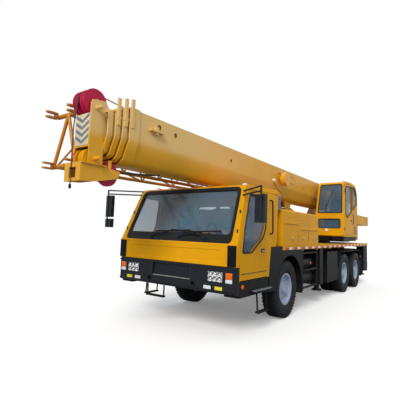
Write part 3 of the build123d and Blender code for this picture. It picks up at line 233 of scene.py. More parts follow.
# %% Sun and floor
sun = linked("sun", bpy.data.lights.new("sun", "SUN"))
sun.data.energy = 2.1
sun.data.angle = radians(24)
sun.data.color = (1.0, 0.97, 0.92)
sun_way = Vector((-0.80, -0.30, -0.62))      # the way its light travels
sun.rotation_euler = sun_way.to_track_quat("-Z", "Y").to_euler()

floor_mesh = bpy.data.meshes.new("floor")
floor_mesh.from_pydata([(-60, -60, 0), (60, -60, 0), (60, 60, 0), (-60, 60, 0)], [], [(0, 1, 2, 3)])
floor = linked("floor", floor_mesh)
floor_finish = Finish("floor", roughness=1.0)
seen_floor = floor_finish.add("ShaderNodeLightPath", {}, {}, "Is Camera Ray")
floor_finish.give("Base Color", floor_finish.mix(seen_floor, colour(0.3, 0.3, 0.3), colour(0.95, 0.95, 0.95)))
floor_finish.surface.socket.node.inputs["Emission Color"].default_value = colour(1, 1, 1)
glow = floor_finish.add("ShaderNodeEmission", {}, {"Strength": 0.2})
both = floor_finish.add("ShaderNodeAddShader", {}, {0: floor_finish.surface, 1: glow})
shown = floor_finish.add("ShaderNodeMixShader", {}, {0: seen_floor, 1: floor_finish.surface, 2: both})
floor_finish.add("ShaderNodeOutputMaterial", {"is_active_output": True}, {"Surface": shown})
floor_mesh.materials.append(floor_finish.material)
print("floor", tuple(floor.dimensions))

# %% [markdown]
# ## Paint
# Sprayed enamel has a fine orange peel, and lies a little deeper in some places than in others. Road dust
# settles low down. An image could carry all of this, but noise needs no unwrapping and never repeats. So the
# colour drifts with one large noise, roughness with another, dust with height, and a fine bump breaks up the
# gloss.
# The boom's paint is also made paler towards the front and above a height, as a painted reflection of the sky.

# %% A coat of paint
def paint(name, base, rough=0.32, coat=0.12, dust=0.3, dust_top=1.1, drift=0.12, shine=0.3, painted_reflection=None):
    """Gloss enamel: base colour, orange peel, a slow drift in colour, and dust below dust_top.
    painted_reflection = (colour, along x, up z): a painted reflection of the sky, paler towards the front and
    above a height."""
    made = Finish(name, coat_weight=coat, coat_roughness=0.12, specular_ior_level=shine)
    slow = made.noise(1.3, 4.0)
    darker = tuple(v * (1 - drift) for v in base[:3]) + (1,)
    shade = made.mix(made.between(slow, 0.35, 0.65), darker, base)
    # Painted reflection of the sky: the paint turns paler towards the front and above a height.
    if painted_reflection:
        pale, along, up = painted_reflection
        reflection_mask = made.between(made.axes[0], *along) * made.between(made.axes[2] + slow * 0.04, *up)
        shade = made.mix(reflection_mask, shade, pale)
    low = 1.0 - made.between(made.axes[2] + (slow - 0.5) * 0.5, 0.2, dust_top)
    dusty = made.mix(low * dust * made.between(made.noise(9.0, 5.0), 0.3, 0.7), shade, colour(0.26, 0.21, 0.15))
    made.give("Base Color", dusty)
    made.give("Roughness", made.noise(30.0, 2.0) * 0.08 + low * dust * 0.4 + rough - 0.04)
    made.emboss(made.noise(420.0, 2.0), 0.0003)
    return made


print("paint mixer ready")

# %% Paints
golden = paint("golden paint", colour(0.80, 0.38, 0.006), rough=0.42, coat=0.03, shine=0.05)
# The boom's upper side is painted paler towards the front: a painted reflection of the sky.
ochre = paint("boom paint", colour(0.80, 0.40, 0.02), rough=0.38, coat=0.1, drift=0.1, shine=0.2,
              painted_reflection=(colour(0.80, 0.53, 0.19), (0.8, 4.2), (2.72, 2.88)))
# The jib's yellow is darkened to orange-brown: painted shade, because the jib lies in shade under the boom.
shaded_jib_paint = paint("jib paint in painted shade", colour(0.60, 0.24, 0.012), rough=0.42, coat=0.1)
cream = paint("cream paint", colour(0.84, 0.70, 0.44), rough=0.4, dust=0.1)
slate_blue = paint("slate blue paint", colour(0.16, 0.21, 0.30), rough=0.4, dust=0.1)
black = paint("chassis paint", colour(0.006, 0.007, 0.009), rough=0.5, coat=0.02, dust=0.06, drift=0.3,
              shine=0.12)
slate = paint("bumper paint", colour(0.010, 0.014, 0.021), rough=0.4, coat=0.08, dust=0.06, shine=0.2)
signal_red = paint("signal red", colour(0.62, 0.015, 0.03), rough=0.35, dust=0.1)
signal_white = paint("signal white", colour(0.86, 0.86, 0.84), rough=0.35, dust=0.1)
wheel_silver = paint("wheel paint", colour(0.36, 0.46, 0.62), rough=0.34, coat=0.4, dust=0.25, dust_top=0.9)
winch_grey = paint("winch paint", colour(0.05, 0.054, 0.06), rough=0.45, coat=0.1, dust=0.1)
duct_grey = paint("reel paint", colour(0.20, 0.27, 0.36), rough=0.4, coat=0.2, dust=0.1)
print("paints ready")

# %% [markdown]
# ## Rubber, plastic, metal, glass
# Rubber is dull and dusty. Moulded plastic has a leathery grain. Cast metal is rough all over, and plated
# metal has a cloudy gloss. Glass that bends light would need thick panes and many bounces, so each pane is a
# thin tinted skin instead: colour and alpha, with a black printed border.

# %% Rubber, plastic, iron, chrome
def moulded(name, base, rough, grain, depth):
    """Plastic or rubber with an even pebble grain."""
    made = Finish(name, specular_ior_level=0.22)
    pebble = made.add("ShaderNodeTexVoronoi", {}, {"Vector": made.place, "Scale": grain})
    cloud = made.between(made.noise(4.0, 5.0), 0.3, 0.7)
    paler = tuple(min(1, v * 1.7 + 0.004) for v in base[:3]) + (1,)
    made.give("Base Color", made.mix(cloud * 0.5, base, paler))
    made.give("Roughness", cloud * 0.12 + rough)
    made.emboss(pebble, depth)
    return made


rubber = moulded("tyre rubber", colour(0.010, 0.012, 0.014), 0.62, 260.0, 0.0006)
gasket = moulded("gasket rubber", colour(0.005, 0.006, 0.007), 0.5, 500.0, 0.0002)
plastic = moulded("black plastic", colour(0.009, 0.013, 0.018), 0.42, 420.0, 0.0003)
trim = moulded("cab trim", colour(0.035, 0.04, 0.046), 0.55, 380.0, 0.0004)
nylon = moulded("crimson nylon", colour(0.42, 0.006, 0.05), 0.3, 150.0, 0.0002)


def metal(name, base, rough, metallic=1.0, pits=60.0, depth=0.0004):
    """Bare or plated metal with a cloudy gloss and fine pits."""
    made = Finish(name)
    cloud = made.noise(14.0, 6.0)
    darker = tuple(v * 0.7 for v in base[:3]) + (1,)
    made.give("Base Color", made.mix(made.between(cloud, 0.35, 0.7), base, darker))
    made.give("Roughness", cloud * 0.2 + rough - 0.1)
    made.give("Metallic", made.between(cloud, 0.9, 0.2) * 0.05 + (metallic - 0.05))
    made.emboss(made.noise(pits, 6.0), depth)
    return made


iron = metal("cast iron", colour(0.09, 0.09, 0.095), 0.6, 0.4, 70.0, 0.002)
axle_iron = metal("painted casting", colour(0.016, 0.017, 0.018), 0.55, 0.1, 80.0, 0.002)
chrome = metal("hard chrome", colour(0.75, 0.76, 0.78), 0.18, 1.0, 300.0, 0.00005)
reflector = metal("lamp reflector", colour(0.85, 0.87, 0.9), 0.16, 1.0, 300.0, 0.00005)
zinc = metal("zinc plate", colour(0.5, 0.5, 0.48), 0.36, 0.9, 200.0, 0.0002)
alloy = metal("tread plate", colour(0.42, 0.45, 0.48), 0.36, 0.8, 200.0, 0.0002)
print("rubber, plastic and metals ready")


# %% Wire rope: strands wound round the line of the rope
def rope_finish():
    made = Finish("wire rope")
    lay = (made.axes[0] * 260.0 + made.axes[1] * 180.0 + made.axes[2] * 420.0).wave()
    groove, strand = colour(0.02, 0.022, 0.025), colour(0.13, 0.14, 0.16)
    made.give("Base Color", made.mix(made.between(lay, -0.6, 0.9), groove, strand))
    made.give("Metallic", made.between(lay, -1.0, 1.0) * 0.3 + 0.4)
    made.give("Roughness", made.noise(50.0) * 0.2 + 0.38)
    made.emboss(lay, 0.002)
    return made


rope = rope_finish()
print("rope ready:", len(rope.tree.nodes), "nodes")


# %% Glass and lenses
def glass_finish(name, tint, cover, border=None):
    """Thin tinted glass. border = (axis, middle, half, low, high, width) of the black printed edge."""
    made = Finish(name, coat_weight=0.3, coat_roughness=0.04)
    clean = made.between(made.noise(2.2, 4.0), 0.25, 0.75)
    made.give("Roughness", clean * 0.04 + 0.03)
    across = made.axes[2] * 0.0
    if border:
        axis, middle, half, low, high, width = border
        off_side = abs(made.axes[axis] - middle) - (half - width)
        off_end = abs(made.axes[2] - (low + high) / 2) - ((high - low) / 2 - width)
        corner = (off_side.at_least(0.0) ** 2.0 + off_end.at_least(0.0) ** 2.0) ** 0.5
        across = corner > 0.004
    made.give("Base Color", made.mix(across, tint, colour(0.004, 0.005, 0.006)))
    made.give("Alpha", (across + clean * 0.06 + cover).at_most(1.0))
    return made


side_glass = glass_finish("side glass", colour(0.10, 0.20, 0.30), 0.34)
amber_lens = moulded("amber lens", colour(0.75, 0.13, 0.01), 0.16, 300.0, 0.0006)
red_lens = moulded("red lens", colour(0.5, 0.008, 0.008), 0.16, 300.0, 0.0006)
yellow_lens = moulded("yellow lens", colour(0.72, 0.60, 0.05), 0.16, 300.0, 0.0006)
white_lens = moulded("white lens", colour(0.72, 0.74, 0.76), 0.14, 300.0, 0.0006)
print("glass and lenses ready")


# %% Seat cloth and floor plate
def weave(name, warp, weft, threads=420.0):
    """Plain woven cloth: two sets of threads over and under each other."""
    made = Finish(name, sheen_weight=0.3)
    over = ((made.axes[0] + made.axes[2] * 0.7) * threads).wave()
    under = ((made.axes[1] + made.axes[2] * 0.3) * threads).wave()
    made.give("Base Color", made.mix(made.between(over * under, -0.6, 0.6), warp, weft))
    made.give("Roughness", made.noise(60.0) * 0.1 + 0.8)
    made.emboss(over * under, 0.0012)
    return made


blue_cloth = weave("blue seat cloth", colour(0.016, 0.05, 0.17), colour(0.03, 0.10, 0.30))
brown_cloth = weave("brown seat cloth", colour(0.06, 0.022, 0.02), colour(0.15, 0.07, 0.06), 160.0)


def chequer(name, base):
    """Raised lozenges in two directions, as rolled floor plate has."""
    made = paint(name, base, rough=0.45, coat=0.1, dust=0.2)
    step = 26.0
    cell = ((made.axes[0] * step).fraction() - 0.5, (made.axes[1] * step).fraction() - 0.5)
    turn = ((made.axes[0] * step / 2).fraction() > 0.5) - ((made.axes[1] * step / 2).fraction() > 0.5)
    turn = abs(turn) * 2.0 - 1.0
    along = cell[0] + cell[1] * turn
    side = cell[0] - cell[1] * turn
    rib = made.between(abs(along) * 0.5 + abs(side) * 2.2, 0.34, 0.24)
    made.emboss(rib, 0.004)
    return made


deck_plate = chequer("deck plate", colour(0.56, 0.27, 0.02))
print("cloth and deck plate ready")

# %% [markdown]
# ## Making and placing pieces
# Trim is folded sheet, block and turned metal. Primitives could be added and scaled one by one, but a small
# class lets many of them join in one piece. A finished piece keeps its object at the origin with its place in
# its mesh, gets its finish, and rides on a body.

# %% Shape: a mesh under construction
class Shape:
    def __init__(self):
        self.bm = bmesh.new()

    def soften(self, faces, width):
        """Rounds every edge of these faces."""
        edges = list(dict.fromkeys(edge for face in faces for edge in face.edges))
        bmesh.ops.bevel(self.bm, geom=edges, offset=width, segments=2, profile=0.5, affect="EDGES")
        return self

    def slab(self, low, high, soft=0.004):
        """A block between two opposite corners, in any order, with softened edges."""
        xs, ys, zs = [sorted(pair) for pair in zip(low, high)]
        corners = [Vector((x, y, z)) for x in xs for y in ys for z in zs]
        made = [self.bm.verts.new(corner) for corner in corners]
        faces = [self.bm.faces.new([made[i] for i in ring]) for ring in (
            (0, 1, 3, 2), (4, 6, 7, 5), (0, 4, 5, 1), (2, 3, 7, 6), (0, 2, 6, 4), (1, 5, 7, 3))]
        return self.soften(faces, soft)

    def plate(self, outline, axis, low, high):
        """An outline in the plane across axis, given thickness from low to high."""
        def corner(pair, level):
            pair = list(pair)
            pair.insert(axis, level)
            return self.bm.verts.new(pair)
        front = [corner(pair, low) for pair in outline]
        back = [corner(pair, high) for pair in outline]
        self.bm.faces.new(front)
        self.bm.faces.new(list(reversed(back)))
        for i in range(len(outline)):
            j = (i + 1) % len(outline)
            self.bm.faces.new((front[i], back[i], back[j], front[j]))
        return self

    def turned(self, centre, axis, profile, steps=32, closed=False):
        """(distance along the axis, radius) points turned about an axis through centre."""
        axis = Vector(axis).normalized()
        across = axis.orthogonal().normalized()
        upward = axis.cross(across)
        rings = []
        for distance, radius in profile:
            base = Vector(centre) + axis * distance
            turns = [2 * pi * i / steps for i in range(steps if radius > 0 else 1)]
            rings.append([self.bm.verts.new(base + (across * cos(turn) + upward * sin(turn)) * radius)
                          for turn in turns])
        pairs = list(zip(rings, rings[1:])) + ([(rings[-1], rings[0])] if closed else [])
        for first, second in pairs:
            for i in range(steps):
                j = (i + 1) % steps
                ring = [loop[k % len(loop)] for loop, k in ((first, i), (first, j), (second, j), (second, i))]
                ring = list(dict.fromkeys(ring))    # a pole gives the same corner twice
                if len(ring) > 2:
                    self.bm.faces.new(ring)
        return self

    def move(self, matrix):
        bmesh.ops.transform(self.bm, matrix=matrix, verts=self.bm.verts)
        return self

    def mesh(self, name):
        bmesh.ops.recalc_face_normals(self.bm, faces=self.bm.faces)
        made = bpy.data.meshes.new(name)
        self.bm.to_mesh(made)
        self.bm.free()
        return made


block = Shape().slab((0, 0, 0), (1, 1, 1))
print("a softened block has", len(block.bm.faces), "faces")
block.bm.free()


# %% Settling a piece on its body, and evaluating modifiers
SIDES, HANDS = (-1, 1), ((1, "left"), (-1, "right"))
record = frame["record"]
body_of = {node: body for body, names in record["behaviour"]["bodies"].items() for node in names}


def baked(obj):
    """The object's evaluated mesh, with its modifiers taken off."""
    made = bpy.data.meshes.new_from_object(obj.evaluated_get(bpy.context.evaluated_depsgraph_get()))
    obj.modifiers.clear()
    obj.data = made
    return obj


def settle(name, shape, finish, body, smooth=35):
    """A finished Shape becomes an object, smooth up to that angle, riding on a body."""
    obj = linked(name, shape.mesh(name))
    obj.data.materials.append(finish.material)
    obj.data.shade_smooth()
    obj.data.set_sharp_from_angle(angle=radians(smooth))
    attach(obj, body)
    return obj


def tint(obj, finish, chosen):
    """A second finish on the faces whose middle passes the test."""
    obj.data.materials.append(finish.material)
    for face in obj.data.polygons:
        if chosen(face.center, face.normal):
            face.material_index = len(obj.data.materials) - 1
    return obj


print("mesh helpers ready;", len(body_of), "nodes placed on bodies")

# %% [markdown]
# ## Geometry Nodes for what repeats or follows a path
# Gaskets, rails, hoses and ropes are one profile swept along a path with rounded corners. Bolts are one
# small head set on many points. Strips, louvres and ribs are one block in a row. Loops in Python could copy
# them too, but a tree with named inputs can be tried at other sizes in Blender's window.

# %% A tree with named inputs
SOCKETS = {float: "NodeSocketFloat", int: "NodeSocketInt", tuple: "NodeSocketVector", str: "NodeSocketMaterial"}


class Growth(Tree):
    def __init__(self, name, **defaults):
        self.group = bpy.data.node_groups.new(name, "GeometryNodeTree")
        super().__init__(self.group)
        self.group.interface.new_socket("Geometry", in_out="INPUT", socket_type="NodeSocketGeometry")
        for key, value in defaults.items():
            socket = self.group.interface.new_socket(key, in_out="INPUT", socket_type=SOCKETS[type(value)])
            if not isinstance(value, str):
                socket.default_value = value
        self.group.interface.new_socket("Geometry", in_out="OUTPUT", socket_type="NodeSocketGeometry")

    def given(self, name):
        return self.add("NodeGroupInput", {}, {}, name)

    def end(self, geometry):
        """Realize Instances, Set Material and the output."""
        real = self.add("GeometryNodeRealizeInstances", {}, {0: geometry})
        made = self.add("GeometryNodeSetMaterial", {}, {"Geometry": real, "Material": self.given("Material")})
        self.add("NodeGroupOutput", {}, {0: made})

    def grow(self, name, points, edges, finish, body, smooth=40, **values):
        """Runs the tree on points and edges, and settles the result as a plain mesh."""
        mesh = bpy.data.meshes.new(name)
        mesh.from_pydata([tuple(point) for point in points], edges, [])
        obj = linked(name, mesh)
        modifier = obj.modifiers.new("growth", "NODES")
        modifier.node_group = self.group
        for item in self.group.interface.items_tree:
            if item.in_out == "INPUT" and item.name in values:
                modifier[item.identifier] = values[item.name]
            if item.in_out == "INPUT" and item.name == "Material":
                modifier[item.identifier] = finish.material
        baked(obj)
        obj.data.shade_smooth()
        obj.data.set_sharp_from_angle(angle=radians(smooth))
        if body:
            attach(obj, body)
        return obj


print("a tree's inputs can be:", ", ".join(SOCKETS.values()))

# %% Tree 1: a round bar along a path
swept = Growth("round bar", Radius=0.01, Bend=0.03, Sides=10, Material="")
path = swept.add("GeometryNodeMeshToCurve", {}, {0: swept.given("Geometry")})
bent = swept.add("GeometryNodeFilletCurve", {}, {
    "Curve": path, "Radius": swept.given("Bend"), "Limit Radius": True})
fillet = bent.socket.node
if hasattr(fillet, "mode"):
    fillet.mode = "POLY"
else:
    fillet.inputs["Mode"].default_value = "Poly"
fillet.inputs["Count"].default_value = 5
ring = swept.add("GeometryNodeCurvePrimitiveCircle", {},
                 {"Resolution": swept.given("Sides"), "Radius": swept.given("Radius")})
swept.end(swept.add("GeometryNodeCurveToMesh", {}, {"Curve": bent, "Profile Curve": ring, "Fill Caps": True}))


def bars(name, paths, radius, finish, body, bend=0.03, sides=10, loop=False):
    """Round bars along lists of points, with bent corners."""
    points, edges = [], []
    for line in paths:
        start = len(points)
        points += line
        edges += [(start + i, start + i + 1) for i in range(len(line) - 1)]
        if loop:
            edges.append((start + len(line) - 1, start))
    return swept.grow(name, points, edges, finish, body, Radius=radius, Bend=bend, Sides=sides)


print(swept.group.name, "has", len(swept.tree.nodes), "nodes")

# %% Tree 2: bolt heads on points
studded = Growth("bolts", Size=0.01, Axis=(0.0, 0.0, 1.0), Material="")
size = studded.given("Size")
head, washer = [
    studded.add("GeometryNodeMeshCylinder", {}, {
        "Vertices": corners, "Radius": size * wide, "Depth": size * deep})
    for corners, wide, deep in ((6, 1.0, 1.1), (14, 1.35, 0.35))]
lifted = studded.add("ShaderNodeCombineXYZ", {}, {2: size * 0.6})
head = studded.add("GeometryNodeTransform", {}, {"Geometry": head, "Translation": lifted})
joined = studded.add("GeometryNodeJoinGeometry")
for part in (head, washer):
    studded.tree.links.new(part.socket, joined.socket.node.inputs[0])
turned = studded.add("FunctionNodeAlignRotationToVector", {"axis": "Z"}, {"Vector": studded.given("Axis")})
studded.end(studded.add("GeometryNodeInstanceOnPoints", {}, {
    "Points": studded.given("Geometry"), "Instance": joined, "Rotation": turned}))


def bolts(name, places, axis, size, finish, body):
    """Bolt heads with washers at places, pointing along axis."""
    axis = tuple(float(v) for v in axis)
    return studded.grow(name, places, [], finish, body, smooth=25, Size=size, Axis=axis)


print(studded.group.name, "has", len(studded.tree.nodes), "nodes")

# %% Tree 3: a row of small blocks
stepped = Growth("row of blocks", Count=5, Step=(0.1, 0.0, 0.0), Block=(0.1, 0.1, 0.1), Turn=(0.0, 0.0, 0.0),
                 Material="")
line = stepped.add("GeometryNodeMeshLine", {"mode": "OFFSET"}, {
    "Count": stepped.given("Count"), "Offset": stepped.given("Step")})
lines = stepped.add("GeometryNodeInstanceOnPoints", {}, {"Points": stepped.given("Geometry"), "Instance": line})
lines = stepped.add("GeometryNodeRealizeInstances", {}, {0: lines})
brick = stepped.add("GeometryNodeMeshCube", {}, {"Size": stepped.given("Block")})
rotation = stepped.add("FunctionNodeEulerToRotation", {}, {0: stepped.given("Turn")})
stepped.end(stepped.add("GeometryNodeInstanceOnPoints", {}, {
    "Points": lines, "Instance": brick, "Rotation": rotation}))


def row(name, starts, count, step, block, finish, body, turn=(0, 0, 0)):
    """From each start, count blocks that follow each other by step."""
    def vector(values):
        return tuple(float(v) for v in values)
    return stepped.grow(name, starts, [], finish, body, Count=count, Step=vector(step), Block=vector(block),
                        Turn=vector(turn))


print(stepped.group.name, "has", len(stepped.tree.nodes), "nodes")

# %% [markdown]
# ## Skins
# Folded plate never has a knife edge: it is bent over a radius or welded and ground. Each big CAD node gets
# a skin, which is a merged copy of its mesh with every hard edge rounded by a Bevel modifier, so that edges
# catch the light. The skin replaces the node on screen, and the node stays, hidden.

# %% Rounded skins for plate work
def skin(node, finish, width):
    """A copy of a CAD node's mesh with rounded edges, which stands for it."""
    source = nodes[node]
    bm = bmesh.new()
    bm.from_mesh(source.data)
    bmesh.ops.remove_doubles(bm, verts=bm.verts, dist=0.00002)
    bmesh.ops.dissolve_limit(bm, angle_limit=radians(1.5), verts=bm.verts, edges=bm.edges)
    mesh = bpy.data.meshes.new(node + "_skin")
    bm.to_mesh(mesh)
    bm.free()
    obj = linked(node + "_skin", mesh)
    mesh.materials.clear()
    mesh.materials.append(finish.material)
    mesh.shade_smooth()
    bevel = obj.modifiers.new("round", "BEVEL")
    bevel.width = width
    bevel.segments = 2
    bevel.limit_method = "ANGLE"
    bevel.angle_limit = radians(38)
    bevel.use_clamp_overlap = True
    bevel.miter_outer = "MITER_ARC"
    weighted = obj.modifiers.new("flat faces", "WEIGHTED_NORMAL")
    weighted.weight = 90
    baked(obj)
    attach(obj, body_of[node])
    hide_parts(node)
    return obj


print("skins are rounded above 38 degrees")

# %% Skins of the big nodes
skins = {}
skin_table = [  # node, finish, width of the rounding in metres
    ("cab_shell", golden, 0.012), ("cab_front_panel", golden, 0.008),
    ("cab_door_left", golden, 0.006), ("cab_door_right", golden, 0.006),
    ("front_bumper", slate, 0.008), ("steps_and_guards", black, 0.003),
    ("deck", golden, 0.003), ("engine_cover", golden, 0.008), ("side_tanks", black, 0.004),
    ("boom_rest", black, 0.004), ("counterweight", golden, 0.010), ("turntable_boxes", golden, 0.010),
    ("turntable_frame", golden, 0.003), ("carrier_lamps", white_lens, 0.004),
    ("boom_base", ochre, 0.002), ("boom_section_2", ochre, 0.002), ("boom_section_3", ochre, 0.002),
    ("boom_section_4", ochre, 0.002), ("chassis_frame", black, 0.003), ("mirrors", plastic, 0.003),
]
for node, finish, width in skin_table:
    skins[node] = skin(node, finish, width)
tint(skins["turntable_frame"], black, lambda middle, normal: middle.z < 1.6)
tint(skins["turntable_boxes"], black, lambda middle, normal: middle.z < 1.6)
tint(skins["deck"], deck_plate, lambda middle, normal: normal.z > 0.9)
tint(skins["deck"], black, lambda middle, normal: normal.z < -0.5)
lamps = skins["carrier_lamps"]
tint(lamps, amber_lens, lambda middle, normal: middle.x > 3 and abs(middle.y) > 1.05 and middle.z > 0.88)
tint(lamps, yellow_lens, lambda middle, normal: middle.x > 3 and abs(middle.y) > 0.88 and middle.z < 0.775)
tint(lamps, red_lens, lambda middle, normal: middle.x < 0)
print(len(skins), "skins,", sum(len(s.data.polygons) for s in skins.values()), "faces")

# %% Finishes for the nodes that keep their own mesh
screen_glass = glass_finish("windscreen", colour(0.16, 0.30, 0.42), 0.24, (1, 0.0, 1.12, 1.46, 2.29, 0.045))
plain_finishes = {
    "cab_glass": screen_glass, "cab_door_glass_left": side_glass, "cab_door_glass_right": side_glass,
    "dashboard": trim, "operator_door": golden, "operator_cab": golden, "engine": iron,
    "axles": axle_iron, "knuckle_left": axle_iron, "knuckle_right": axle_iron, "hook_block": black,
    "winches": winch_grey, "operator_glass": side_glass, "operator_door_glass": side_glass,
    "operator_seat": trim, "head_sheaves": nylon, "fly_jib": shaded_jib_paint,
    "lift_cylinder_barrel": golden, "lift_cylinder_rod": chrome,
}
for corner in ("front_left", "front_right", "rear_left", "rear_right"):
    plain_finishes[f"outrigger_beam_{corner}"] = black
    plain_finishes[f"outrigger_jack_{corner}"] = black
for name in nodes:
    if name.startswith("tyre_"):
        plain_finishes[name] = rubber
    if name.startswith("rim_"):
        plain_finishes[name] = wheel_silver
for name, finish in plain_finishes.items():
    for slot in nodes[name].material_slots:
        slot.material = finish.material
print(len(plain_finishes), "nodes keep their mesh")

# %% [markdown]
# ## The driver's cab
# The windscreen leans back and is glued into a wide black band, which is also its lower apron. The sides lean
# in towards its top corners. Both are planes, so each trim piece asks two small functions for its place.

# %% Where the cab's front and sides are
FOOT, TOP, SIDE = (3.76, 1.42), (3.37, 2.33), 1.25      # windscreen's line as (x, z), and the cab's half width
SIDE_LEAN = (0.096, 0.138)      # how fast the side comes in, along x from 3.78 and up z from 1.40
screen_slope = (TOP[0] - FOOT[0]) / (TOP[1] - FOOT[1])
out_of_screen = Vector((1, 0, -screen_slope)).normalized()


def on_screen(y, z, lift=0.0):
    """A point on the windscreen's plane at that y and z, lifted off it."""
    return Vector((FOOT[0] + screen_slope * (z - FOOT[1]), y, z)) + out_of_screen * lift


def side_y(x, z):
    """Half the cab's width at a place on its side."""
    return min(SIDE, SIDE - (SIDE_LEAN[0] * (x - 3.78) + SIDE_LEAN[1] * (z - 1.40)) / 0.9312)


def on_side(side, x, z, lift=0.0):
    """A point on the cab's left (1) or right (-1) side, lifted off it."""
    return Vector((x, side * (side_y(x, z) + lift), z))


def rounded(corners, radius, steps=6):
    """A polygon with rounded corners, as points in a plane."""
    made = []
    for i, corner in enumerate(corners):
        before = (Vector(corners[i - 1]) - Vector(corner)).normalized()
        after = (Vector(corners[(i + 1) % len(corners)]) - Vector(corner)).normalized()
        for step in range(steps + 1):
            share = step / steps
            near = Vector(corner) + before * radius * (1 - share) ** 2 + after * radius * share ** 2
            made.append(tuple(near))
    return made


print("top corner of the cab's side at y", round(side_y(*TOP), 3))

# %% Black band round the windscreen
band = Shape()
outer = rounded([(-1.14, 1.405), (1.14, 1.405), (1.085, 2.318), (-1.085, 2.318)], 0.10)
inner = rounded([(-1.078, 1.545), (1.078, 1.545), (1.028, 2.262), (-1.028, 2.262)], 0.06)
levels = []
for ring, lift in ((outer, -0.004), (outer, 0.005), (inner, 0.005), (inner, -0.028)):
    levels.append([band.bm.verts.new(on_screen(y, z, lift)) for y, z in ring])
for low, high in zip(levels, levels[1:]):
    for i in range(len(outer)):
        j = (i + 1) % len(outer)
        band.bm.faces.new((low[i], low[j], high[j], high[i]))
print(len(band.bm.faces), "faces in the band")
settle("windscreen_band", band, gasket, "carrier")

# %% Wipers: three arms on pivots along the foot of the glass
pivots = ((-0.50, 0.42), (0.10, 0.42), (0.62, -0.36))      # y of the pivot, reach of the arm to one side
arms, blades = [], []
for y, reach in pivots:
    foot, knee = on_screen(y, 1.475, 0.012), on_screen(y + reach * 0.2, 1.50, 0.032)
    tip = on_screen(y + reach * 1.05, 1.565, 0.030)
    arms += [[foot, knee], [knee, tip]]
    blades.append([on_screen(y + reach * 0.15, 1.556, 0.018), on_screen(y + reach * 1.05, 1.570, 0.022),
                   on_screen(y + reach * 1.95, 1.590, 0.018)])
bars("wiper_arms", arms, 0.009, gasket, "carrier", bend=0.01, sides=8)
bars("wiper_blades", blades, 0.012, gasket, "carrier", bend=0.2, sides=8)
caps = Shape()
for y, reach in pivots:
    rounded_cap = [(0, 0.03), (0.02, 0.03), (0.034, 0.02), (0.036, 0)]
    caps.turned(on_screen(y, 1.475, 0.0), out_of_screen, rounded_cap, 16)
settle("wiper_pivots", caps, plastic, "carrier")
print(len(arms), "arm pieces,", len(blades), "blades")

# %% [markdown]
# ## Doors and what is fixed to the cab's sides
# A door has a rubber seal round its window, a pressed crease low down, and a handle in a cup. A rail to climb
# in by, pillar hinges, a gutter and a ribbed step belong to the cab. A Mirror
# modifier would make one object of both sides, but each door turns on its own hinges. So one function makes
# one side, and runs twice. Lenses are turned shapes, so their profiles share a table.

# %% Lens profiles, as (distance out, radius) in metres
lens_profiles = {
    "door marker": [(-0.002, 0.032), (0.012, 0.032), (0.022, 0.02), (0.024, 0)],
    "beacon": [(0, 0.062), (0.012, 0.062), (0.014, 0.05), (0.04, 0.047), (0.058, 0.03), (0.062, 0)],
    "head lamp bowl": [(0.001, 0.036), (0.004, 0.036), (0.001, 0.030), (-0.001, 0.016), (0.005, 0.010),
                       (0.008, 0)],
    "chassis marker": [(0, 0.0), (0, 0.026), (0.008, 0.026), (0.013, 0.018), (0.015, 0)],
    "tail lamp": [(0, 0), (0, 0.045), (0.012, 0.045), (0.018, 0.034), (0.020, 0)],
    "work lamp": [(0, 0), (0, 0.045), (0.022, 0.045), (0.030, 0.036), (0.034, 0)],
    "boom lamp": [(-0.02, 0.0), (-0.02, 0.038), (0.03, 0.040), (0.036, 0.034), (0.040, 0)],
}
print(len(lens_profiles), "lens profiles")

# %% Trim of one door and its side of the cab
window = [(3.618, 1.277), (3.332, 1.277), (2.947, 1.502), (2.852, 1.652), (2.802, 2.198), (3.293, 2.203),
          (3.558, 1.60)]
CREASE_Z, STEP_Y, HINGE_INSET = 0.965, 1.285, 0.035


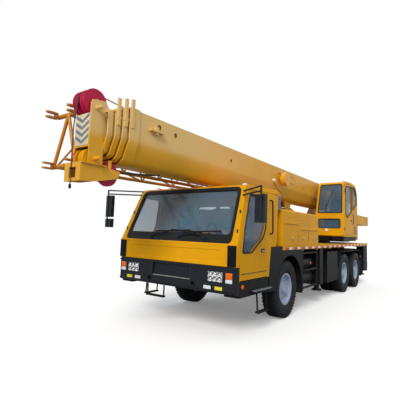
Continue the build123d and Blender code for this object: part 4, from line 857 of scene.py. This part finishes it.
def door_trim(name, side):
    door = "door_" + name
    outline = rounded(window, 0.045, 3)
    seal = [on_side(side, x, z) for x, z in outline]
    bars(f"window_gasket_{name}", [seal], 0.011, gasket, door, 0.004, 8, loop=True)
    crease = [on_side(side, x, CREASE_Z) for x in (2.77, 3.65)]
    bars(f"door_crease_{name}", [crease], 0.006, trim, door, 0.002, 8)
    cup = Shape().slab((2.865, side * 1.246 - 0.008, 1.27), (3.0, side * 1.246 + 0.008, 1.335), 0.006)
    settle(f"door_handle_cup_{name}", cup, plastic, door)
    pull = Shape().slab((2.88, side * 1.262 - 0.006, 1.283), (2.985, side * 1.262 + 0.006, 1.303), 0.005)
    settle(f"door_handle_{name}", pull, zinc, door)
    grab = [on_side(side, x, z, out) for x, z, out in (
        (2.67, 1.58, 0.0), (2.67, 1.58, 0.05), (2.69, 2.15, 0.05), (2.69, 2.15, 0.0))]
    bars(f"grab_handle_{name}", [grab], 0.013, gasket, "carrier", 0.03, 10)
    hinges, half = Shape(), Vector((0.010, 0.010, 0.028))
    for z in (1.60, 1.90):
        pillar_y = side_y(FOOT[0] + screen_slope * (z - FOOT[1]), z) - HINGE_INSET
        middle = on_screen(side * pillar_y, z, 0.004)
        hinges.slab(middle - half, middle + half, 0.004)
    settle(f"pillar_hinges_{name}", hinges, gasket, "carrier")
    gutter = [on_side(side, x, z, 0.004) for x, z in ((3.36, 2.285), (2.42, 2.285), (2.40, 2.26))]
    bars(f"roof_gutter_{name}", [gutter], 0.012, golden, "carrier", 0.02, 8)
    marker = Shape().turned((3.60, side * SIDE, 0.775), (0, side, 0), lens_profiles["door marker"], 20)
    settle(f"side_marker_{name}", marker, amber_lens, "carrier")
    tread = Shape().slab((2.70, side * STEP_Y - 0.034, 0.684), (3.31, side * STEP_Y + 0.034, 0.692), 0.002)
    settle(f"step_tread_{name}", tread, alloy, "carrier")
    ribs_start = [(2.72, side * STEP_Y, 0.695)]
    row(f"step_ribs_{name}", ribs_start, 24, (0.025, 0, 0), (0.008, 0.058, 0.006), alloy, "carrier")
    return outline


for side, name in HANDS:
    seal = door_trim(name, side)
print(len(seal), "points in each window's seal")

# %% Beacon, duct behind the cab, folded roof ribs
beacon = Shape().turned((3.05, 0.95, 2.356), (0, 0, 1), lens_profiles["beacon"], 24)
settle("roof_beacon", beacon, white_lens, "carrier")
duct = Shape().slab((2.195, 1.085, 2.02), (2.345, 1.235, 2.285), 0.012)
settle("intake_duct", duct, duct_grey, "carrier")
row("intake_slots", [(2.27, 1.237, 2.06)], 9, (0, 0, 0.024), (0.11, 0.006, 0.008), plastic, "carrier")
row("roof_ribs", [(2.95, -0.75, 2.361)], 6, (0, 0.3, 0), (0.9, 0.03, 0.008), golden, "carrier")
print("beacon, duct and ribs on the cab")

# %% [markdown]
# ## Bumper
# Each head-lamp pocket holds six small bowls in two rows. A bowl is a turned dish with a bright inside and a
# domed lens, and a dark rim holds it. A flat lens would be simpler, but only a bowl catches light from all
# sides. Two shackle eyes, a bright ledge and seams break up the dark face.

# %% Head lamps: six bowls and rims on each side
RIM = [(0.0, 0.040), (0.006, 0.040), (0.006, 0.036), (0.0, 0.036)]
bowls, rims_of_lamps = Shape(), Shape()
for side in SIDES:
    for y in (0.796, 0.880, 0.964):
        for z in (0.871, 0.948):
            centre = (3.787, side * y, z)
            bowls.turned(centre, (1, 0, 0), lens_profiles["head lamp bowl"], 20)
            rims_of_lamps.turned(centre, (1, 0, 0), RIM, 20, closed=True)
print(len(bowls.bm.faces), "faces of lamp bowls")
settle("head_lamp_bowls", bowls, reflector, "carrier")
settle("head_lamp_rims", rims_of_lamps, trim, "carrier")

# %% Ledge, seams, shackle eyes and bolts
ledge = [(3.775, y, 0.822) for y in (-0.40, 0.40)]
bars("bumper_ledge", [ledge], 0.009, zinc, "carrier", 0.001, 8)
seams = [[(3.790, side * y, 0.800) for y in (0.62, 1.02)] for side in SIDES]
bars("bumper_seams", seams, 0.003, trim, "carrier", 0.001, 6)
edges = [[(3.789, side * 0.415, z) for z in (0.83, 1.03)] for side in SIDES]
bars("recess_edges", edges, 0.005, trim, "carrier", 0.001, 6)
for side, name in HANDS:
    eye = [(3.796, side * 0.47 + 0.036 * cos(a * pi / 6), 0.765 + 0.042 * sin(a * pi / 6)) for a in range(12)]
    bars(f"shackle_eye_{name}", [eye], 0.011, gasket, "carrier", 0.01, 8, loop=True)
heads = [(3.791, side * y, z) for side in SIDES for y in (0.56, 1.215) for z in (0.70, 1.03)]
bolts("bumper_bolts", heads, (1, 0, 0), 0.009, gasket, "carrier")
print("bumper done,", len(heads), "bolts")

# %% Corner indicators: an amber lens over a white one
for name, finish, low, high in (("amber", amber_lens, 0.890, 0.984), ("white", white_lens, 0.834, 0.886)):
    lens = Shape()
    for side in SIDES:
        lens.slab((3.783, side * 1.072, low), (3.793, side * 1.186, high), 0.003)
    settle(f"corner_lens_{name}", lens, finish, "carrier")
print("two lenses on each corner")

# %% [markdown]
# ## Seats
# Seat cushions are stuffed, so their broad faces bulge and their edges are round. A cloth simulation could
# inflate them, but they show only through the glass, so a coarse box swelled in its middle is enough. A
# Subdivision Surface modifier smooths it, and is applied. The cushions stand on hard bases.

# %% A cushion
def cushion(name, middle, size, finish, body, lean=0.0, swell=0.35):
    """A stuffed block around its middle, fuller in the middle of its broad faces, tilted about y by lean."""
    shape = Shape()
    bmesh.ops.create_cube(shape.bm, size=1.0)
    bmesh.ops.subdivide_edges(shape.bm, edges=shape.bm.edges[:], cuts=4, use_grid_fill=True)
    thin = size.index(min(size))
    for vert in shape.bm.verts:
        reach = [abs(vert.co[i]) * 2 for i in range(3) if i != thin]
        vert.co[thin] *= 0.8 + swell * (1 - reach[0] ** 2) * (1 - reach[1] ** 2)
    shape.move(Matrix.Translation(middle) @ Matrix.Rotation(lean, 4, "Y") @ Matrix.Diagonal((*size, 1)))
    obj = settle(name, shape, finish, body, 80)
    soft = obj.modifiers.new("soft", "SUBSURF")
    soft.levels = soft.render_levels = 2
    baked(obj).data.shade_smooth()
    return obj


print("cushions are swelled boxes")

# %% Driver's and passenger's seats
BACK_LEAN, SEAT_Y = -0.16, 0.62
seat_base = Shape()
for side, name in ((1, "driver"), (-1, "passenger")):
    y = side * SEAT_Y
    cushion(f"{name}_seat_cushion", (2.83, y, 1.44), (0.50, 0.50, 0.14), blue_cloth, "carrier", 0.06)
    cushion(f"{name}_seat_back", (2.61, y, 1.66), (0.12, 0.48, 0.38), blue_cloth, "carrier", BACK_LEAN)
    cushion(f"{name}_seat_upper_back", (2.55, y, 1.94), (0.10, 0.46, 0.24), brown_cloth, "carrier", BACK_LEAN)
    seat_base.slab((2.62, y - 0.19, 1.13), (3.02, y + 0.19, 1.37), 0.01)
    seat_base.slab((2.57, y - 0.03, 1.40), (2.60, y + 0.03, 1.80), 0.006)
bases = settle("cab_seat_bases", seat_base, trim, "carrier")
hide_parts("cab_seats")
print("six cushions on two bases")

# %% [markdown]
# ## Wheels
# A tyre is a profile turned about its axle: side walls with moulded steps, and a tread with three grooves.
# Displacement could carve the tread, but turning gives clean grooves with few faces. Square lugs stand on both
# shoulders, made by spinning one block round the axle. Each rim keeps its hub and disc from the CAD, and gets
# ten nuts.

# %% Profile of a tyre, as (distance from its middle, radius)
side_wall = [
    (0.0986, 0.282), (0.118, 0.300), (0.130, 0.330), (0.1363, 0.352), (0.1385, 0.356), (0.138, 0.368),
    (0.143, 0.405), (0.1448, 0.45), (0.142, 0.472), (0.1400, 0.474), (0.134, 0.500), (0.127, 0.517),
    (0.1218, 0.527)]
TREAD_HALF, TREAD_R, GROOVE_R = 0.1044, 0.5385, 0.527
tread_line = [(-TREAD_HALF, TREAD_R)]
for groove in (-0.062, 0.0, 0.062):
    for offset, radius in ((-0.009, 0.540), (-0.006, GROOVE_R), (0.006, GROOVE_R), (0.009, 0.540)):
        tread_line.append((groove + offset, radius))
tread_line.append((TREAD_HALF, TREAD_R))
whole_tyre = [(-d, r) for d, r in side_wall] + tread_line + list(reversed(side_wall))
print(len(whole_tyre), "points in the tyre's profile")

# %% Lugs on the shoulders
AXLE_Z, LUGS, NUTS, NUT_CIRCLE = 0.54, 48, 10, 0.16
axles = (  # name, x, middles of the tyres on one side, outer face of the disc
    ("front", 1.75, (1.044,), 1.100),
    ("middle", -2.40, (1.077, 0.757), 1.001),
    ("rear", -3.75, (1.077, 0.757), 1.001))


def add_lugs(shape, x, y, shoulder):
    """Lugs round one shoulder, -1 or 1, of the tyre whose middle is at x and y."""
    lug = Shape().slab((x - 0.014, shoulder * 0.100, AXLE_Z + 0.505),
                       (x + 0.014, shoulder * 0.1315, AXLE_Z + TREAD_R), 0.003)
    whole = lug.bm.faces[:] + lug.bm.verts[:] + lug.bm.edges[:]
    bmesh.ops.spin(lug.bm, geom=whole, cent=(x, 0, AXLE_Z), axis=(0, 1, 0), angle=2 * pi * (LUGS - 1) / LUGS,
                   steps=LUGS - 1, use_duplicate=True)
    lug.move(Matrix.Translation((0, y, 0)))
    ring = lug.mesh("lugs")
    shape.bm.from_mesh(ring)
    bpy.data.meshes.remove(ring)


print(LUGS, "lugs on each shoulder")

# %% Tyres and wheel nuts
for place, x, offsets, disc_y in axles:
    for side, hand in HANDS:
        wheel = f"wheel_{place}_{hand}"
        shape = Shape()
        for offset in offsets:
            shape.turned((x, side * offset, AXLE_Z), (0, 1, 0), whole_tyre, 80, closed=True)
            for shoulder in SIDES:
                add_lugs(shape, x, side * offset, shoulder)
        tyre = settle(f"tread_{place}_{hand}", shape, rubber, wheel, 40)
        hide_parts(f"tyre_{place}_{hand}")
        turns = [2 * pi * i / NUTS for i in range(NUTS)]
        nuts = [(x + NUT_CIRCLE * cos(turn), side * disc_y, AXLE_Z + NUT_CIRCLE * sin(turn)) for turn in turns]
        bolts(f"wheel_nuts_{place}_{hand}", nuts, (0, side, 0), 0.013, zinc, wheel)
print("six wheels dressed")

# %% [markdown]
# ## Deck edges and what hangs below
# A reflective strip of red and white pieces runs along each edge of the deck. Amber markers sit on the sides,
# and a rubber flap hangs behind each rear wheel. The strip could be one long band with a pattern, but its
# pieces are alike and stand apart, so they are a row of thin blocks in each colour.

# %% Deck strips, markers, flaps
STRIP_PITCH, FLAP_X = 0.43, -4.42
for colour_name, finish, start in (("red", signal_red, 1.900), ("white", signal_white, 1.740)):
    starts = [(start, side * 1.252, 1.31) for side in SIDES]
    row(f"deck_strip_{colour_name}", starts, 16, (-STRIP_PITCH, 0, 0), (0.148, 0.003, 0.045), finish, "carrier")
markers, flaps = Shape(), Shape()
for side in SIDES:
    for x, z in ((-4.19, 0.94), (0.60, 0.98)):
        markers.turned((x, side * 1.243, z), (0, side, 0), lens_profiles["chassis marker"], 20)
    flaps.slab((FLAP_X - 0.006, side * 0.62, 0.30), (FLAP_X + 0.006, side * 1.23, 0.86), 0.002)
settle("side_marker_lamps", markers, amber_lens, "carrier")
settle("mud_flaps", flaps, gasket, "carrier")
print("deck strips, markers and flaps done")

# %% [markdown]
# ## Engine cover
# The cover lifts off, so it has handles on top, latches low on its sides, seams between its side panels, and
# slats at its rear where the cooling air leaves. On the real cover these are bent rod and pressed sheet, so
# bars, blocks and rows make them. Cutting them into the cover would only cost faces.

# %% Latches, seams, handles and slats
COVER_TOP, COVER_REAR = 2.045, 0.0985
latches = Shape()
for side in SIDES:
    for x in (0.45, 1.05, 1.65):
        latches.slab((x - 0.02, side * 1.249, 1.46), (x + 0.02, side * 1.262, 1.53), 0.003)
settle("engine_cover_latches", latches, zinc, "carrier")
seams = [[(x, side * 1.25, z) for z in (1.39, 1.66)] for x in (0.75, 1.35) for side in SIDES]
bars("engine_cover_seams", seams, 0.003, trim, "carrier", 0.001, 6)
hoops = [[(x + along, y, COVER_TOP + up) for along, up in ((0, 0), (0, 0.04), (0.16, 0.04), (0.16, 0))]
         for x in (0.4, 1.6) for y in (-0.9, 0.9)]
bars("engine_cover_handles", hoops, 0.008, trim, "carrier", 0.02, 8)
for name, y in (("engine_cover_grille", -0.70), ("engine_cover_grille_left", 0.70)):
    row(name, [(COVER_REAR, y, 1.45)], 12, (0, 0, 0.045), (0.006, 0.9, 0.014), trim, "carrier")
print("cover has", len(hoops), "handles")

# %% [markdown]
# ## Boom and its head
# The head's front plate has slate-blue stripes that point down, on cream. They could be a pattern in the paint,
# but thin plates keep their edges sharp, as tape does. The sheaves are crimson plastic, apart from the painted
# ones below. A wire rope comes over the top sheave and down the front.

# %% Head plate with stripes
PLATE_X, STRIPE_X = 5.6245, 5.6262           # front faces of the plate and of its stripes
cream_plate = Shape().slab((5.6205, -0.138, 2.620), (PLATE_X, 0.138, 3.030), 0.001)
settle("head_plate", cream_plate, cream, "boom_section_4")
stripes = Shape()
for tip in (2.640, 2.730, 2.820, 2.910):
    for edge in (-0.134, 0.134):
        slanted = [(edge, tip + 0.075), (edge, tip + 0.118), (0.0, tip + 0.043), (0.0, tip)]
        stripes.plate(slanted, 0, PLATE_X, STRIPE_X)
print(len(stripes.bm.faces), "faces of stripes")
settle("head_stripes", stripes, slate_blue, "boom_section_4")

# %% Sheave colours
def low_front(middle):
    return middle.z < 2.62 and middle.x > 5.38


sheaves = skins["head_sheaves"] = skin("head_sheaves", nylon, 0.0012)
tint(sheaves, golden, lambda middle, normal: low_front(middle))
tint(sheaves, signal_red, lambda middle, normal: low_front(middle) and middle.y < -0.07)
print(len(sheaves.data.polygons), "faces on the sheaves")

# %% Ropes at the head
ROPE_R = 0.008
front_rope = [(5.46, 0.0, 3.360), (5.53, 0.0, 3.366), (5.62, 0.0, 3.340), (5.69, -0.01, 3.25),
              (5.712, -0.02, 3.12), (5.735, -0.02, 2.85), (5.735, -0.02, 2.08)]
bars("front_rope", [front_rope], ROPE_R, rope, "boom_section_4", 0.01, 8)
tie_ropes = [[(5.30, y, 2.20), (5.0, y, 2.36), (4.2, y, 2.44)] for y in (-0.05, 0.05)]
bars("head_tie_ropes", tie_ropes, ROPE_R, rope, "boom_section_4", 0.01, 8)
guard = Shape().slab((5.722, -0.034, 2.055), (5.748, -0.006, 2.110), 0.006)
guard.slab((5.718, -0.030, 2.300), (5.742, -0.010, 2.330), 0.004)
settle("rope_guard", guard, black, "boom_section_4")
print("ropes at the head done")

# %% Pipe on the boom, edges of the cable box, lamp with its wire
top_pipe = [(4.19, 0.10, 3.205), (4.25, 0.10, 3.245), (5.0, 0.10, 3.245), (5.04, 0.10, 3.205)]
bars("boom_top_pipe", [top_pipe], 0.012, trim, "boom_section_4", 0.03, 10)
box = Shape().slab((-0.71, 0.326, 2.912), (0.31, 0.336, 2.918), 0.001)
box.slab((-0.71, 0.328, 3.078), (0.31, 0.336, 3.086), 0.001)
settle("cable_box_edges", box, golden, "boom_base")
lamp = Shape().turned((0.57, 0.345, 2.846), (0, 1, 0), lens_profiles["boom lamp"], 24)
settle("boom_lamp", lamp, white_lens, "boom_base")
wire = [(0.55, 0.345, 2.83), (0.42, 0.34, 2.72), (0.22, 0.335, 2.63), (0.10, 0.33, 2.60)]
bars("boom_lamp_wire", [wire], 0.006, gasket, "boom_base", 0.05, 6)
print("boom trim done")

# %% [markdown]
# ## Hoist rope over the boom
# The rope lies along the boom's top, so it starts on the base section and ends at the head. These slide
# apart, but here the piece is one plain mesh, laid in place, which rides on no body.

# %% Rope from the base section to the head
REAR_X, STEP, TOP_Z, RISE_FROM, RISE = -3.9, 0.72, 3.240, 8.0, 0.088
along_boom = [(REAR_X + i * STEP, 0.0, TOP_Z + max(0.0, i * STEP - RISE_FROM) * RISE) for i in range(14)]
run = bars("hoist_rope_run", [along_boom], ROPE_R, rope, None, 0.001, 8)
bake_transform(run)
print("rope ends at", tuple(round(value, 3) for value in along_boom[-1]))

# %% [markdown]
# ## Operator's cab
# Black rubber holds each pane. A gasket could be a copy of the glass with a hole, but a bar swept round the
# pane's corners has the round section of real rubber. A lamp, a latch, louvres and rails sit on the walls, and
# the seat is padded.

# %% Gaskets round the panes, and a wiper
def ring_on(plane, outline, level):
    """A rounded outline in the plane across an axis, as points in space."""
    line = []
    for first, second in rounded(outline, 0.05):
        point = [first, second]
        point.insert(plane, level)
        line.append(tuple(point))
    return line


op_side, op_nose = 1.221, -2.3195            # y of the outer wall and x of the front
panes = (  # name, body, axis across the pane, place on that axis, corners
    ("door", "operator_door", 1, op_side,
     [(-2.46, 2.22), (-2.46, 3.03), (-3.195, 3.105), (-3.195, 2.327), (-2.655, 2.11)]),
    ("rear", "turntable", 1, op_side,
     [(-3.315, 2.381), (-3.315, 3.115), (-3.66, 3.095), (-3.85, 2.85), (-3.85, 2.60)]),
    ("front", "turntable", 0, op_nose, [(0.465, 2.25), (0.556, 3.085), (1.16, 3.085), (1.16, 2.25)]),
    ("low", "turntable", 0, op_nose, [(0.49, 1.805), (0.49, 2.075), (1.11, 2.075), (1.11, 1.805)]))
for name, body, plane, level, corners in panes:
    bars(f"operator_{name}_gasket", [ring_on(plane, corners, level)], 0.010, gasket, body, 0.001, 6, loop=True)
wiper = [[(-2.312, 0.66, 2.27), (-2.300, 0.80, 2.66)], [(-2.300, 0.70, 2.44), (-2.300, 0.90, 2.88)]]
bars("operator_wiper", wiper, 0.007, trim, "turntable", 0.01, 6)
print(len(panes), "gaskets")

# %% Lamp, latch, hinges, louvres and rails
lamp = Shape().turned((-2.322, 0.72, 1.745), (1, 0, 0), lens_profiles["work lamp"], 24)
settle("operator_cab_lamp", lamp, white_lens, "turntable")
latch = Shape().slab((-3.20, 1.218, 2.030), (-3.10, 1.226, 2.080), 0.003)
latch.slab((-3.19, 1.226, 2.048), (-3.12, 1.240, 2.064), 0.003)
settle("operator_door_latch", latch, trim, "operator_door")
hinge_places = [(-2.385, 1.222, z) for z in (1.80, 2.90)]
row("operator_door_hinges", hinge_places, 1, (0, 0, 0), (0.05, 0.012, 0.09), trim, "turntable")
row("operator_louvres", [(-3.62, 1.2215, 1.66)], 6, (0, 0, 0.04), (0.34, 0.005, 0.012), trim, "turntable")
grab_rail = [(-3.30, 1.222, 1.95), (-3.30, 1.252, 1.97), (-3.30, 1.252, 2.24), (-3.30, 1.222, 2.26)]
bars("operator_grab_rail", [grab_rail], 0.010, trim, "turntable", 0.02, 8)
roof_rail = [(-2.50, 1.13, 3.195), (-3.30, 1.13, 3.255), (-3.62, 1.13, 3.205)]
bars("operator_roof_rail", [roof_rail], 0.010, golden, "turntable", 0.03, 8)
print("operator's cab trim done")

# %% Operator's seat
seat_x, seat_y = -3.30, 0.81
for name, middle, size, lean in (
        ("cushion", (seat_x + 0.02, seat_y, 2.16), (0.49, 0.47, 0.13), 0.05),
        ("back", (seat_x - 0.10, seat_y, 2.50), (0.13, 0.46, 0.56), -0.12)):
    cushion(f"operator_seat_{name}", middle, size, blue_cloth, "turntable", lean)
print("two cushions on the operator's seat")

# %% [markdown]
# ## Winches and counterweight
# Wire rope lies side by side on each drum. One turned profile with a ridge for each turn shows it, which is
# far lighter than a helix. The counterweight carries red lamps and big bolt heads on its rear face.

# %% Rope on the drums, bolts on the flanges
LAY = 0.018                                  # from one turn of rope to the next
winches = (("main", -4.42, 1.81, 0.150, 0.218), ("second", -5.13, 1.82, 0.170, 0.288))
for name, x, z, core, half in winches:       # middle, drum's radius, half its width
    turns = int(half * 2 / LAY)
    line = []
    for i in range(turns):
        start = -half + i * LAY
        line += [(start, core), (start + 0.004, core + 0.009), (start + 0.013, core + 0.009)]
    line.append((-half + turns * LAY, core))
    wound = Shape().turned((x, 0, z), (0, 1, 0), line, 40)
    settle(f"{name}_winch_rope", wound, rope, "turntable", 60)
    caps = [(x + 0.10 * cos(a * pi / 3), half + 0.024, z + 0.10 * sin(a * pi / 3)) for a in range(6)]
    bolts(f"{name}_winch_bolts", caps, (0, 1, 0), 0.010, zinc, "turntable")
    print(name, "winch has", turns, "turns of rope")

# %% Lamps and bolts on the counterweight
TAIL_X = -5.7105
tail = Shape()
for side in SIDES:
    for y in (0.62, 0.74, 0.86):
        tail.turned((TAIL_X, side * y, 2.08), (-1, 0, 0), lens_profiles["tail lamp"], 20)
settle("counterweight_lamps", tail, red_lens, "turntable")
heads = [(TAIL_X, side * y, z) for side in SIDES for y in (0.25, 1.05) for z in (2.04, 2.23)]
bolts("counterweight_bolts", heads, (-1, 0, 0), 0.018, zinc, "turntable")
print("counterweight done")
